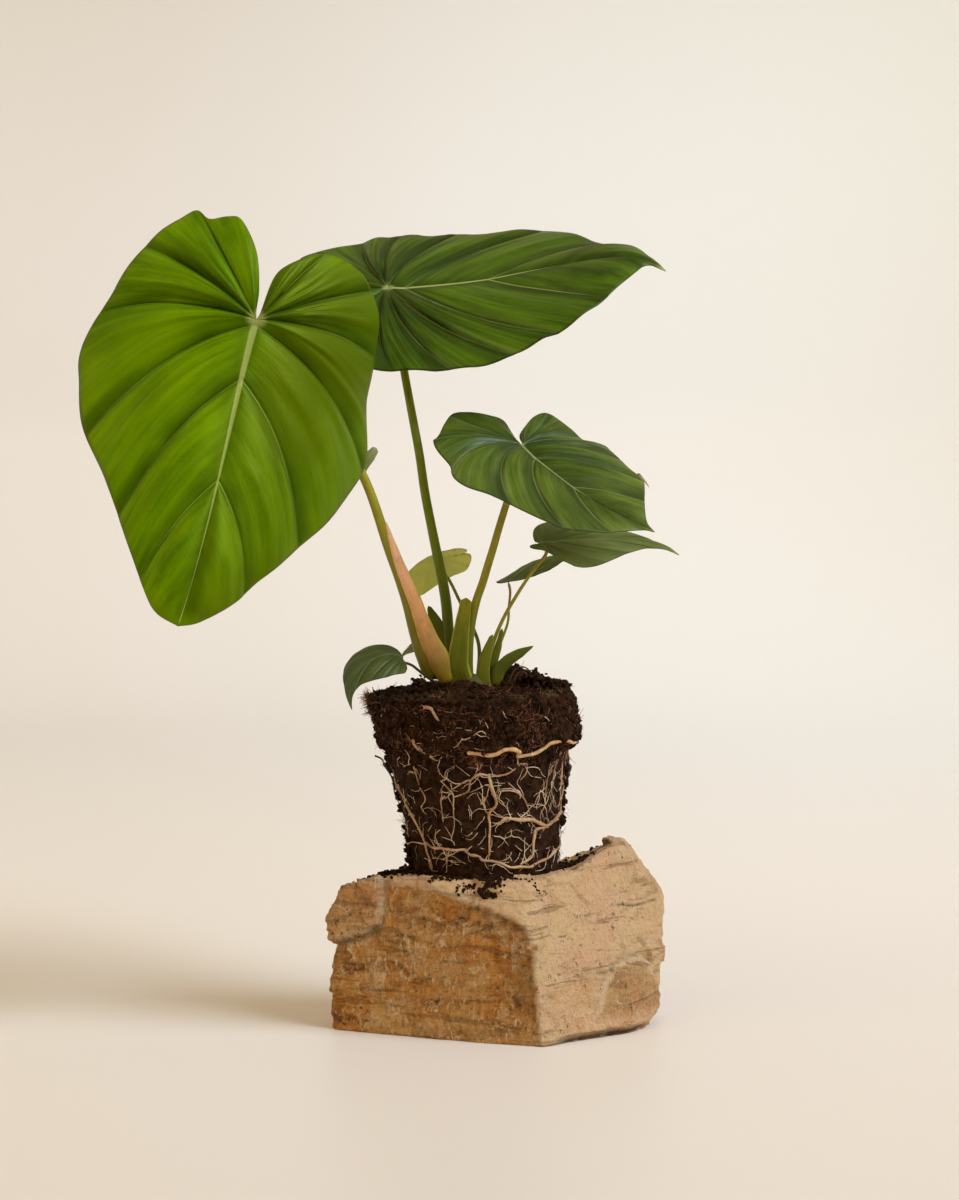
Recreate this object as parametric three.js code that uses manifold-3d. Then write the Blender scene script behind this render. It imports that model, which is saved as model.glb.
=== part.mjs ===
// A hybrid philodendron lifted out of its pot: eight leaves on a short creeping stem, the bare
// root ball that has kept the pot's shape, and the rough block of stone that it stands on.
// Millimetres, +Z up. +X is the viewer's right and +Y leads away from the viewer.
// The origin is on the floor, under the middle of the root ball's underside.

import * as THREE from 'three';
import { mergeVertices } from 'three/addons/utils/BufferGeometryUtils.js';
import Module from 'manifold-3d';

const wasm = await Module();
wasm.setup();

// Driving dimensions

const GAP = 0.35; // clear space between two pieces that touch
const SEAT_HEIGHT = 88.2; // level top of the stone, under the root ball
const BALL_FOOT = SEAT_HEIGHT + GAP;
const SOIL_LEVEL = 188.6; // top of the soil: the ball is as deep as a 12 cm nursery pot, 100 mm

const SOIL_SIDES = 40;
const STEM_SIDES = 8;
const ROOT_SIDES = 5;
const ROOT_STEP = 7; // length of one straight run of a root

// Stone: its outline on the floor, and the fracture faces that trim the block. A face passes
// through a point and looks along facing; the rock in front of it is gone.

const STONE_OUTLINE = [
  [-87, -12], [-41, -34], [-3, -52], [32, -63], [44, -61], [64, -44], [79, -27], [99, 3],
  [101, 36], [80, 58], [24, 69], [-36, 61], [-74, 41], [-84, 14],
];
const STONE_PEAK = 101;
const BLOCK_FACES = [
  { through: [24, -60, 58], facing: [-0.19, -0.93, 0.3] }, // pale slope above the front face
  { through: [33, -62, 0], facing: [0.61, -0.785, 0.12] }, // foot of the right face
  { through: [24, -44, 88], facing: [0.64, -0.69, 0.325] }, // right face, leaning back
  { through: [-42.5, 0, 88.2], facing: [-0.22, 0, 1] }, // left shoulder
  { through: [-38.5, 16, 88.2], facing: [-0.32, 0.13, 1] },
  { through: [-29.5, 29.5, 88.2], facing: [-0.42, 0.42, 1] },
  { through: [-80, 0, 79.4], facing: [-2.2, -0.3, 1] },
  { through: [-86, -14, 30], facing: [-0.9, -0.25, -0.08] },
  { through: [-88, 10, 20], facing: [-0.9, 0.3, 0.15] },
  { through: [94, 0, 6], facing: [0.72, -0.12, -0.68] }, // undercut foot at the right end
  { through: [78, 25, 101], facing: [1.3, -0.1, 1] }, // fall beyond the peak
  { through: [100, 12, 60], facing: [1, -0.15, 0.12] },
  { through: [70, 60, 40], facing: [0.35, 1, 0.22] }, // back
  { through: [-10, 66, 30], facing: [-0.05, 1, 0.12] },
  { through: [-62, 44, 60], facing: [-0.5, 0.8, 0.35] },
];
const PEAK_FACES = [
  { through: [49, 0, 88.2], facing: [-0.6, 0, 1] }, // rise from the seat to the peak
  { through: [74, 40, 100], facing: [0.1, 0.75, 1] },
];
const SEAT_FALL = { through: [20.5, 35.2, 88.2], facing: [0.06, 0.105, 1] }; // behind the ball
const LEDGE = [ // chip broken out below the chunk at the upper left: in front of both faces
  { through: [-80, 0, 44], facing: [-0.9, -0.12, 0.35] },
  { through: [-80, -16, 50], facing: [-0.15, -0.25, -1] },
];

// Root ball: what the pot has left. Each row is a height, the X of its middle and its radius.

const BALL_ROWS = [
  [BALL_FOOT, 0.2, 40.2], [94, 0.1, 41.2], [104, -0.2, 42], [116, -1.2, 43.6], [128, -2.2, 45.4],
  [140, -3.4, 47.2], [150, -4.4, 49], [157, -4.8, 51], [163, -4.5, 55.2], [171, -4.5, 57.4],
  [180, -6.6, 57.8], [186, -7.6, 56.6],
];
const SOIL_RINGS = [0.88, 0.7, 0.52, 0.34, 0.17]; // rings of the top surface, as shares of its radius
const SOIL_MOUNDS = [ // heaps on the top: X, Y, height and reach
  [18, 3, 14, 11], [42, -6, 4, 13], [-42, -4, 3, 9], [8, 34, 3, 16], [-30, 28, 2.5, 12],
];

// Roots that wrap the ball. A path is a row of points [angle, height]: the angle runs from the
// side nearest the viewer towards the right, in degrees.

const ROOT_WEB = [
  { name: 'coil round the foot', thick: 1.9, path: [[-50, 106], [-36, 104], [-17, 104], [-8, 101],
    [4, 98], [25, 94], [42, 95], [60, 99], [84, 103], [112, 106], [140, 101], [168, 97], [196, 99],
    [224, 104], [252, 101], [282, 104], [310, 106]] },
  { name: 'left runner', thick: 1.9, path: [[-74, 134], [-61, 119], [-51, 109], [-47, 100], [-46, 92]] },
  { name: 'middle stem', thick: 2.3, path: [[8, 146], [8, 138], [10, 132], [8, 124], [5, 115], [3, 107],
    [1, 99]] },
  { name: 'middle branch to the left', thick: 2.1, path: [[8, 146], [1, 144], [-4, 141], [-8, 136],
    [-17, 133], [-23, 135], [-28, 130], [-28, 122]] },
  { name: 'middle branch to the right', thick: 1.3, path: [[8, 146], [14, 145], [23, 149], [33, 151]] },
  { name: 'left hook', thick: 1.6, path: [[-37, 163], [-35, 160], [-32, 156], [-26, 154], [-24, 149],
    [-26, 143], [-21, 138], [-20, 132], [-19, 123], [-21, 115], [-24, 104]] },
  { name: 'right fork', thick: 1.3, path: [[10, 134], [23, 135], [31, 133], [35, 126], [37, 119]] },
  { name: 'right runner', thick: 2.5, path: [[6, 119], [20, 121], [36, 119], [52, 116], [61, 119],
    [83, 121], [104, 119], [124, 124], [144, 130], [160, 126], [178, 132], [196, 142]] },
  { name: 'right drop', thick: 2.3, path: [[52, 116], [42, 113], [39, 106], [37, 100], [28, 94]] },
  { name: 'right edge, front', thick: 1.3, path: [[63, 155], [58, 144], [64, 132], [58, 118]] },
  { name: 'right edge, back', thick: 1.3, path: [[76, 156], [72, 142], [76, 130], [70, 120]] },
  { name: 'back drop', thick: 1.9, path: [[150, 152], [146, 140], [151, 127], [158, 114], [162, 98]] },
  { name: 'back left drop', thick: 2.1, path: [[208, 158], [203, 146], [209, 134], [204, 120], [211, 103]] },
  { name: 'back left branch', thick: 1.5, path: [[206, 126], [222, 124], [236, 130], [250, 128]] },
  { name: 'left drop', thick: 1.7, path: [[250, 152], [246, 138], [252, 126], [247, 114], [252, 101]] },
  { name: 'left arc', thick: 1.4, path: [[250, 134], [266, 131], [279, 139], [288, 132], [297, 121]] },
];
const ROOT_BAND = { thick: 3.4, path: [[-5, 156.5], [7, 157.5], [20, 159.5], [27, 157.5], [29, 154.5],
  [37, 155.5], [47, 158.5], [60, 160.5], [74, 159.5], [92, 162], [108, 159]] };

// Creeping stem, half sunk in the soil, with the places of the leaf bases on it.

const RHIZOME = {
  path: [[-29, -5, 201], [-22, -5, 198.5], [-13, -4, 194], [-4, -4, 191], [4, -3, 189.5], [10, -3, 187]],
  radii: [4.2, 6, 7, 6.5, 5.6, 3.4],
};

// Leaves. midrib: the four control points of a Bezier from the junction with the stalk to the tip.
// faceBase and faceTip: the way the upper face looks at the two ends of the midrib. rise and droop:
// degrees that each half, left then right, stands up at the midrib and bends down over halfWidth.
// left and right: points [along, across] of the margin, from the cleft towards the tip, where both
// end. stalk: points from the stem up, to which the junction is added; underRun is how far the
// stalk runs square to the blade under the junction.

const LEAVES = [
  {
    name: 'leaf_large', green: 0x5f8a1c, stalkColour: 0x9c962c,
    midrib: [[-122.6, -62, 391.3], [-133, -72, 352], [-142, -112, 281], [-159, -120, 230]],
    faceBase: [-0.012, -0.958, 0.288], faceTip: [-0.054, -0.998, -0.035],
    rise: [-27, 3], droop: [31, 17], lobeCurl: 0.45, halfWidth: 85,
    left: [[-5, 1.2], [-27, 3], [-38, 10], [-50, 24], [-53, 38], [-48, 59], [-38, 70], [-22, 79], [-5, 81],
      [14, 83], [30, 89], [46, 94], [60, 92], [85, 78], [109, 60], [135, 39], [152, 27], [169, 11]],
    right: [[-5, 1.2], [-18, 3.2], [-38, 10.5], [-55, 24], [-55, 32], [-51, 41], [-55, 49], [-49, 56], [-28, 71],
      [8, 83], [37, 90], [54, 87], [80, 78], [106, 59], [134, 41], [161, 23], [172, 13]],
    veins: 7, quilting: 2.6, thickness: 1, grid: [35, 4],
    stalk: [[-25, -5, 199.5], [-30, -5, 200], [-34.8, -7, 208], [-38.4, -9, 219], [-44.6, -11, 240],
      [-55.2, -13, 270], [-67.5, -14, 307], [-84, -22, 335], [-101, -34, 358], [-115, -46, 378]],
    underRun: 9, stalkRadii: [4.6, 4.6, 3.6, 3, 2.8, 2.6, 2.5, 2.4, 2.3, 2.3],
  },
  {
    name: 'leaf_upper', green: 0x31601f, stalkColour: 0x4d6a1e,
    midrib: [[-55.8, 42.1, 415.2], [18.3, 39.6, 415.1], [73.7, 22.8, 442.9], [101.8, 19.4, 423.6]],
    faceBase: [0, -0.623, 0.782], faceTip: [0.08, -0.487, 0.87],
    rise: [-12, 3], droop: [-1, 14], lobeCurl: -0.12, halfWidth: 75,
    left: [[-8, 1.5], [-32, 7], [-49, 21], [-52, 43], [-28, 62], [0, 79], [39, 79], [71, 73], [102, 43],
      [131, 26], [149, 11]],
    right: [[-8, 1.5], [-32, 7], [-50, 21], [-49, 43], [-27, 65], [9, 74], [46, 79], [73, 71], [106, 55],
      [129, 27], [144, 9]],
    veins: 7, quilting: 2, thickness: 1, grid: [35, 4],
    stalk: [[-17, 0, 194], [-18, 2, 202], [-20.2, 5, 219.3], [-22, 7, 239], [-33, 12, 295],
      [-37.4, 18, 323], [-45.8, 30, 368]],
    underRun: 14, stalkRadii: [3.2, 3.1, 2.9, 2.6, 2.5, 2.4, 2.3],
  },
  {
    name: 'leaf_right', green: 0x36602a, stalkColour: 0x7e862c,
    midrib: [[20.5, -8, 324.9], [25.4, -25.9, 317.5], [65.2, -51.1, 286.1], [90.8, -66, 278]],
    faceBase: [0.121, -0.718, 0.685], faceTip: [0.151, -0.737, 0.659],
    rise: [3, 14], droop: [33, 13], lobeCurl: -0.6, halfWidth: 50,
    left: [[-4, 1], [-13, 2], [-22, 8], [-31, 16], [-34, 25], [-26, 34], [-14, 43], [5, 52], [26, 51],
      [48, 45], [60, 41], [68, 39], [77, 28], [88, 13], [96, 4]],
    right: [[-4, 1], [-17, 2], [-27, 4], [-30, 12], [-31, 22], [-29, 33], [-20, 40], [-8, 46], [1, 51.5],
      [12, 49.5], [19, 53], [26, 52], [36, 45], [50, 40], [69, 34], [80, 25], [90, 13], [97, 3]],
    veins: 6, quilting: 1.5, thickness: 0.9, grid: [30, 4],
    stalk: [[-9, -4, 194], [-9.6, -5, 204], [-8.2, -6, 222.6], [-4.5, -7, 239.4], [0, -7, 249.4],
      [6.7, -6, 270], [11.6, -4, 292]],
    underRun: 9, stalkRadii: [3, 2.9, 2.4, 2.3, 2.2, 2.1, 2],
  },
  {
    name: 'leaf_low', green: 0x3d5f38, stalkColour: 0x6d702a,
    midrib: [[31.4, 6, 270.8], [52, 3, 272.5], [88, -6, 276.5], [107.4, -13, 264.5]],
    faceBase: [0, -0.442, 0.897], faceTip: [0.033, -0.38, 0.92],
    rise: [6, 3], droop: [10, 33], lobeCurl: 0, halfWidth: 25,
    left: [[-2, 0.9], [-4, 3], [-5, 8], [-5, 16], [-2, 22], [5, 25], [15, 23], [28, 17], [40, 12],
      [52, 8], [63, 3.5], [73, 1.6]],
    right: [[-2, 0.9], [-5, 1.7], [-6, 4], [-3, 6.5], [3, 9], [11, 15], [19, 21], [29, 25], [41, 22],
      [53, 13], [63, 5], [73, 1.6]],
    veins: 5, quilting: 0.8, thickness: 0.8, grid: [25, 3],
    stalk: [[1, -3.5, 190], [1.5, -3, 201], [3.5, -3, 211.3], [7.3, -2.5, 222.4], [12.7, -2, 233.5],
      [24.9, 0, 252.9]],
    underRun: 6, stalkRadii: [1.5, 1.3, 1.1, 1, 1, 0.95],
  },
  {
    name: 'leaf_narrow', green: 0x35582a, stalkColour: 0x6f7330,
    midrib: [[10.1, 17, 248.2], [29, 20.8, 252.2], [37.4, 27.1, 261.4], [59.7, 33, 267.8]],
    faceBase: [0.002, -0.023, 1], faceTip: [0.018, -0.206, 0.978],
    rise: [5, 8], droop: [10, 7], lobeCurl: 0, halfWidth: 18,
    left: [[-2, 0.8], [-5, 3], [-6, 7], [-1, 14], [7, 17], [17, 17], [27, 15], [37, 10], [45, 5], [51, 1.4]],
    right: [[-2, 0.8], [-5, 3], [-6, 7], [-1, 14], [7, 17], [17, 17], [27, 15], [37, 10], [45, 5],
      [51, 1.4]],
    veins: 4, quilting: 0.4, thickness: 0.8, grid: [20, 2],
    stalk: [[3.5, 0.5, 190], [4.5, 2.5, 205], [9, 6, 215.5], [12.9, 9, 226.5], [13.4, 12, 234]],
    underRun: 5, stalkRadii: [1.1, 1, 0.85, 0.75, 0.7],
  },
  {
    name: 'leaf_behind', green: 0x98a850, stalkColour: 0x6f8a2c,
    midrib: [[-25, 28, 260.3], [-31, 29.5, 257.5], [-41, 31.5, 249], [-46.5, 32, 239.5]],
    faceBase: [-0.079, 0.616, 0.784], faceTip: [-0.041, 0.877, 0.478],
    rise: [-2, 8], droop: [24, 12], lobeCurl: 0.33, halfWidth: 14,
    left: [[-3, 1], [-9, 1.5], [-13, 3.5], [-11, 6.5], [-4, 8.5], [5, 9.5], [14, 9.5], [22, 7], [27, 3.5],
      [29, 1.5]],
    right: [[-3, 1], [-10, 3], [-15, 8], [-15, 13], [-9, 15.5], [2, 15], [10, 12.5], [18, 9], [25, 4.5],
      [29, 1.6]],
    veins: 4, quilting: 0.5, thickness: 0.8, grid: [20, 3],
    stalk: [[-5, 1, 190], [-3.5, 6, 200], [-3.4, 10.5, 213], [-6.2, 13, 221.7], [-14.6, 18, 238.4],
      [-20.5, 22, 250]],
    underRun: 4, stalkRadii: [1.4, 1.2, 1.05, 1, 0.95, 0.9],
  },
  {
    name: 'leaf_drooping', green: 0x3a5c38, stalkColour: 0x35381c,
    midrib: [[-46.3, -22, 208.4], [-51, -27.5, 214], [-80, -36, 206], [-72.8, -36.1, 180.3]],
    faceBase: [-0.071, -0.617, 0.783], faceTip: [-0.507, -0.838, 0.201],
    rise: [10, 0], droop: [16, 32], lobeCurl: 0.27, halfWidth: 12,
    left: [[-1.5, 0.8], [-2.5, 3], [-2.5, 7], [0, 12], [6, 15.5], [14, 16], [25, 15], [34, 11], [41, 5],
      [46, 2]],
    right: [[-1.5, 0.8], [-3.5, 3], [-2.5, 6.5], [0, 10], [4, 12], [8, 15], [15, 16.5], [25, 15], [34, 11],
      [41, 5], [46, 2]],
    veins: 4, quilting: 0.6, thickness: 0.8, grid: [20, 3],
    stalk: [[-19, -6, 193.5], [-27, -9, 193.5], [-31, -12, 196], [-36, -15, 200], [-41, -18, 204]],
    underRun: 3, stalkRadii: [1, 0.85, 0.8, 0.75, 0.75],
  },
  {
    name: 'leaf_hidden', green: 0x7f9468, stalkColour: 0x5c6a34,
    midrib: [[-26.5, 16, 214.5], [-32, 17.5, 216], [-42, 19, 212], [-48, 20, 205.5]],
    faceBase: [-0.1, 0.62, 0.78], faceTip: [-0.2, 0.8, 0.55],
    rise: [0, 4], droop: [18, 18], lobeCurl: 0.1, halfWidth: 7,
    left: [[-1.5, 0.7], [-4, 2], [-5, 5], [-1, 7], [6, 7.2], [13, 4.8], [19, 2]],
    right: [[-1.5, 0.7], [-4, 2], [-5, 5], [-1, 7], [6, 7.2], [13, 4.8], [19, 2]],
    veins: 3, quilting: 0.3, thickness: 0.8, grid: [15, 2],
    stalk: [[-16, 2, 192], [-19.5, 8, 197], [-22, 11, 203], [-24.5, 13, 209]],
    underRun: 2.5, stalkRadii: [1.1, 0.9, 0.8, 0.75],
  },
];
const JUNCTION_SETBACK = 3; // the stalk meets the blade this far past the cleft, at least
const CLEFT_SHARE = 0.1; // share of the margin that lines the cleft between the two lobes

// Sheaths that clasp the stalks, and scale leaves: flattened tubes, broad seen from the front.
// thin is the share of the width that their depth has.

const SHEATHS = [
  {
    name: 'leaf_large_sheath', colour: 0xcf9470, thin: 0.5,
    path: [[-22, -8, 200], [-26, -9, 206], [-31, -12, 217], [-35, -15.5, 229], [-38.5, -18.5, 240],
      [-44.3, -22, 255], [-49.8, -24.5, 269], [-53.9, -26, 283]],
    radii: [7.2, 6.8, 5.6, 4.4, 3.8, 3, 1.8, 0.5],
  },
  {
    name: 'leaf_right_sheath', colour: 0x6d8424, thin: 0.62,
    path: [[-13, -7, 192], [-15, -9, 203], [-14, -10, 215], [-12.3, -10, 228], [-10.3, -10, 240.6]],
    radii: [7.4, 6.6, 5.6, 4.4, 3.4],
  },
  {
    name: 'leaf_low_sheath', colour: 0x76882c, thin: 0.6,
    path: [[-1, -6, 191], [-0.8, -6, 203], [1.6, -6, 212], [4.2, -5.4, 220]],
    radii: [4.2, 3.7, 2.8, 1.2],
  },
  {
    name: 'leaf_narrow_sheath', colour: 0x8c922e, thin: 0.6,
    path: [[4.6, 0.5, 191], [5, 1.2, 204], [7.4, 2.6, 213], [9.6, 4, 223]],
    radii: [2.9, 2.5, 2.1, 0.8],
  },
  {
    name: 'scale_leaf_left', colour: 0x46622a, thin: 0.4,
    path: [[-21.5, 3, 200], [-22.4, 4, 211], [-25, 5.5, 219.3], [-28.4, 6.5, 227.7], [-31.8, 7.5, 235.5]],
    radii: [2.8, 3.2, 4.1, 3.6, 1],
  },
  {
    name: 'scale_leaf_right', colour: 0x5c7434, thin: 0.4, broad: [-0.4, 0, 1],
    path: [[6, -4, 191], [8, -4.5, 200], [12.8, -5, 205.5], [19, -5, 209.4], [27, -5, 213.6]],
    radii: [3, 3.6, 3.4, 2.6, 0.4],
  },
];
const YOUNG_ROLL = { // rolled tip of a young leaf on the largest stalk
  name: 'young_leaf_roll', colour: 0x8c9a72,
  path: [[-69.5, -13, 308], [-67.5, -11.5, 313.5], [-63.5, -10, 319.5], [-60.2, -9, 323.8]],
  radii: [2.4, 3, 3.1, 2],
};

// Soil that has crumbled off the ball onto the stone: X, Y, Z and radius of each crumb.

const CRUMB_HEAPS = [
  { name: 'soil_crumbs_front', crumbs: [[-14, -45, 88, 3.4], [-9, -47, 87.4, 4], [-4, -49, 85, 3.6],
    [-8, -48.5, 81.5, 3.4], [-9.5, -48, 77.5, 3], [0, -49, 87.6, 3], [4, -48.5, 88.4, 2.4]] },
  { name: 'soil_crumbs_left', crumbs: [[-65, -6, 81, 3.6], [-60, -7, 83, 4.4], [-55.5, -6, 84.8, 3.6],
    [-59, -1, 83.4, 3.4]] },
  { name: 'soil_crumbs_right', crumbs: [[47, -8, 89, 3.4], [50, -3, 90.4, 4], [53, 2, 92, 3.6],
    [57, 5, 94, 3]] },
];

const COLOURS = { stone: 0xb98f62, soil: 0x3a281e, root: 0xc79f78, rhizome: 0x4c4a1c };

// Solids and meshes

const vector = (point) => new THREE.Vector3(...point);

// One closed body from a closed three.js geometry, once its seams are merged.
function solidFrom(geometry) {
  geometry.deleteAttribute('normal');
  geometry.deleteAttribute('uv');
  const merged = mergeVertices(geometry, 1e-4);
  const corners = merged.index.array;
  const kept = [];
  for (let i = 0; i < corners.length; i += 3) {
    const [a, b, c] = corners.subarray(i, i + 3);
    if (a !== b && b !== c && c !== a) kept.push(a, b, c);
  }
  const vertProperties = new Float32Array(merged.attributes.position.array);
  const make = (triangles) => new wasm.Manifold(
    new wasm.Mesh({ numProp: 3, vertProperties, triVerts: new Uint32Array(triangles) }),
  );
  const solid = make(kept);
  return solid.volume() > 0 ? solid : make(kept.reverse());
}

// The largest body of a solid that a cut may have left in pieces.
function largestBody(solid) {
  const bodies = solid.decompose();
  return bodies.reduce((best, body) => (body.volume() > best.volume() ? body : best));
}

function meshOf(solid, name, colour, roughness) {
  const { vertProperties, triVerts } = solid.getMesh();
  const geometry = new THREE.BufferGeometry();
  geometry.setAttribute('position', new THREE.BufferAttribute(new Float32Array(vertProperties), 3));
  geometry.setIndex(new THREE.BufferAttribute(new Uint32Array(triVerts), 1));
  geometry.computeVertexNormals();
  const material = new THREE.MeshStandardMaterial({ color: colour, roughness, metalness: 0 });
  const mesh = new THREE.Mesh(geometry, material);
  mesh.name = name;
  return mesh;
}

// Value at share t of the way through a list of evenly spaced values.
function along(values, t) {
  const place = t * (values.length - 1);
  const i = Math.min(Math.floor(place), values.length - 2);
  return THREE.MathUtils.lerp(values[i], values[i + 1], place - i);
}

// A tube along a smooth path, with a radius that varies and a section that may be flattened.
// broad is the direction that the wide side of a flat section keeps to.
function tube({ path, radii, thin = 1, broad = null, sides = STEM_SIDES, stepLength = 9 }, grow = 0) {
  const curve = new THREE.CatmullRomCurve3(path.map(vector), false, 'centripetal');
  const steps = Math.max(3, Math.round(curve.getLength() / stepLength));
  const frames = curve.computeFrenetFrames(steps, false);
  const geometry = new THREE.CylinderGeometry(1, 1, 1, sides, steps);
  const position = geometry.attributes.position;
  for (let i = 0; i < position.count; i += 1) {
    const t = position.getY(i) + 0.5;
    const step = Math.round(t * steps);
    const tangent = frames.tangents[step];
    let wide = frames.normals[step];
    if (broad) wide = vector(broad).addScaledVector(tangent, -vector(broad).dot(tangent)).normalize();
    const deep = new THREE.Vector3().crossVectors(tangent, wide);
    const radius = along(radii, t);
    const point = curve.getPointAt(t)
      .addScaledVector(wide, position.getX(i) * (radius + grow))
      .addScaledVector(deep, position.getZ(i) * (radius * thin + grow));
    position.setXYZ(i, point.x, point.y, point.z);
  }
  return solidFrom(geometry);
}

// Everything in front of a plane, to be taken away from a block.
function halfSpace({ through, facing }) {
  const reach = 400;
  const geometry = new THREE.BoxGeometry(reach, reach, reach).translate(0, 0, reach / 2);
  const turn = new THREE.Quaternion().setFromUnitVectors(
    new THREE.Vector3(0, 0, 1), vector(facing).normalize(),
  );
  geometry.applyQuaternion(turn).translate(...through);
  return solidFrom(geometry);
}

// Stone

function extrudedOutline(height) {
  const outline = new THREE.Shape(STONE_OUTLINE.map((point) => new THREE.Vector2(...point)));
  return solidFrom(new THREE.ExtrudeGeometry(outline, { depth: height, bevelEnabled: false }));
}

function buildStone() {
  let peak = extrudedOutline(STONE_PEAK);
  for (const face of PEAK_FACES) peak = peak.subtract(halfSpace(face));
  let block = extrudedOutline(SEAT_HEIGHT).subtract(halfSpace(SEAT_FALL)).add(peak);
  for (const face of BLOCK_FACES) block = block.subtract(halfSpace(face));
  const [chip, ceiling] = LEDGE.map(halfSpace);
  return largestBody(block.subtract(chip.intersect(ceiling)));
}

// Root ball

function ballRow(height) {
  const last = BALL_ROWS.length - 1;
  let i = 0;
  while (i < last - 1 && BALL_ROWS[i + 1][0] < height) i += 1;
  const [low, high] = [BALL_ROWS[i], BALL_ROWS[i + 1]];
  const share = THREE.MathUtils.clamp((height - low[0]) / (high[0] - low[0]), 0, 1);
  return {
    middle: THREE.MathUtils.lerp(low[1], high[1], share),
    radius: THREE.MathUtils.lerp(low[2], high[2], share),
  };
}

// Low lumps of the pressed sides, and the coarser ones of the loose band at the top.
function sideRelief(angle, height) {
  const loose = THREE.MathUtils.smoothstep(height, 152, 166);
  const pressed = 0.5 * Math.sin(5 * angle + height / 11) + 0.3 * Math.sin(9 * angle - height / 6);
  const lumps = 1.1 * Math.sin(6 * angle + 1 + height / 9) + 0.8 * Math.sin(11 * angle - height / 4);
  return pressed * (1 - loose) + lumps * loose;
}

// Point on the side of the ball, at an angle from the viewer's side and a height, raised by lift.
function ballSide(angle, height, lift = 0) {
  const { middle, radius } = ballRow(height);
  const reach = radius + sideRelief(angle, height) + lift;
  return new THREE.Vector3(middle + reach * Math.sin(angle), -reach * Math.cos(angle), height);
}

function soilTop(x, y) {
  const mounds = SOIL_MOUNDS.reduce((sum, [mx, my, height, reach]) => (
    sum + height * Math.exp(-((x - mx) ** 2 + (y - my) ** 2) / reach ** 2)
  ), 0);
  return SOIL_LEVEL + mounds + 0.7 * Math.sin(x / 5 + 1) * Math.cos(y / 6) - 0.035 * Math.max(0, -x - 20);
}

function buildRootBall(hole) {
  const rows = BALL_ROWS.length;
  const rings = SOIL_RINGS.length;
  const profile = [new THREE.Vector2(0, 0)];
  for (let i = 0; i < rows + rings; i += 1) profile.push(new THREE.Vector2(1, i + 1));
  profile.push(new THREE.Vector2(0, rows + rings + 1));
  const geometry = new THREE.LatheGeometry(profile, SOIL_SIDES);
  const position = geometry.attributes.position;
  const rim = BALL_ROWS[rows - 1];
  for (let i = 0; i < position.count; i += 1) {
    const level = position.getY(i);
    const angle = Math.atan2(position.getX(i), position.getZ(i));
    let point = new THREE.Vector3(BALL_ROWS[0][1], 0, BALL_FOOT);
    if (level >= 1 && level <= rows) point = ballSide(angle, BALL_ROWS[level - 1][0]);
    if (level > rows) {
      const share = level > rows + rings ? 0 : SOIL_RINGS[level - rows - 1];
      const edge = ballSide(angle, rim[0]);
      point.set(THREE.MathUtils.lerp(rim[1], edge.x, share), edge.y * share, 0);
      point.z = soilTop(point.x, point.y);
    }
    position.setXYZ(i, point.x, point.y, point.z);
  }
  return largestBody(solidFrom(geometry).subtract(hole));
}

// Roots

function rootTube({ thick, path }) {
  const route = new THREE.SplineCurve(path.map((point) => new THREE.Vector2(...point)));
  const radius = thick / 2;
  const lift = radius + GAP + 0.35;
  const onBall = (t) => {
    const place = route.getPoint(t);
    return ballSide(THREE.MathUtils.degToRad(place.x), place.y, lift);
  };
  const samples = 12 * path.length;
  const dense = Array.from({ length: samples + 1 }, (_, i) => onBall(i / samples));
  const length = dense.slice(1).reduce((sum, point, i) => sum + point.distanceTo(dense[i]), 0);
  const count = Math.max(3, Math.round(length / ROOT_STEP));
  const points = Array.from({ length: count + 1 }, (_, i) => onBall(i / count).toArray());
  return tube({
    path: points, radii: [radius, radius, radius * 0.85, radius * 0.6], sides: ROOT_SIDES, stepLength: ROOT_STEP,
  });
}

function buildRootWeb() {
  return largestBody(ROOT_WEB.map(rootTube).reduce((web, root) => web.add(root)));
}

// Leaves

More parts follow.
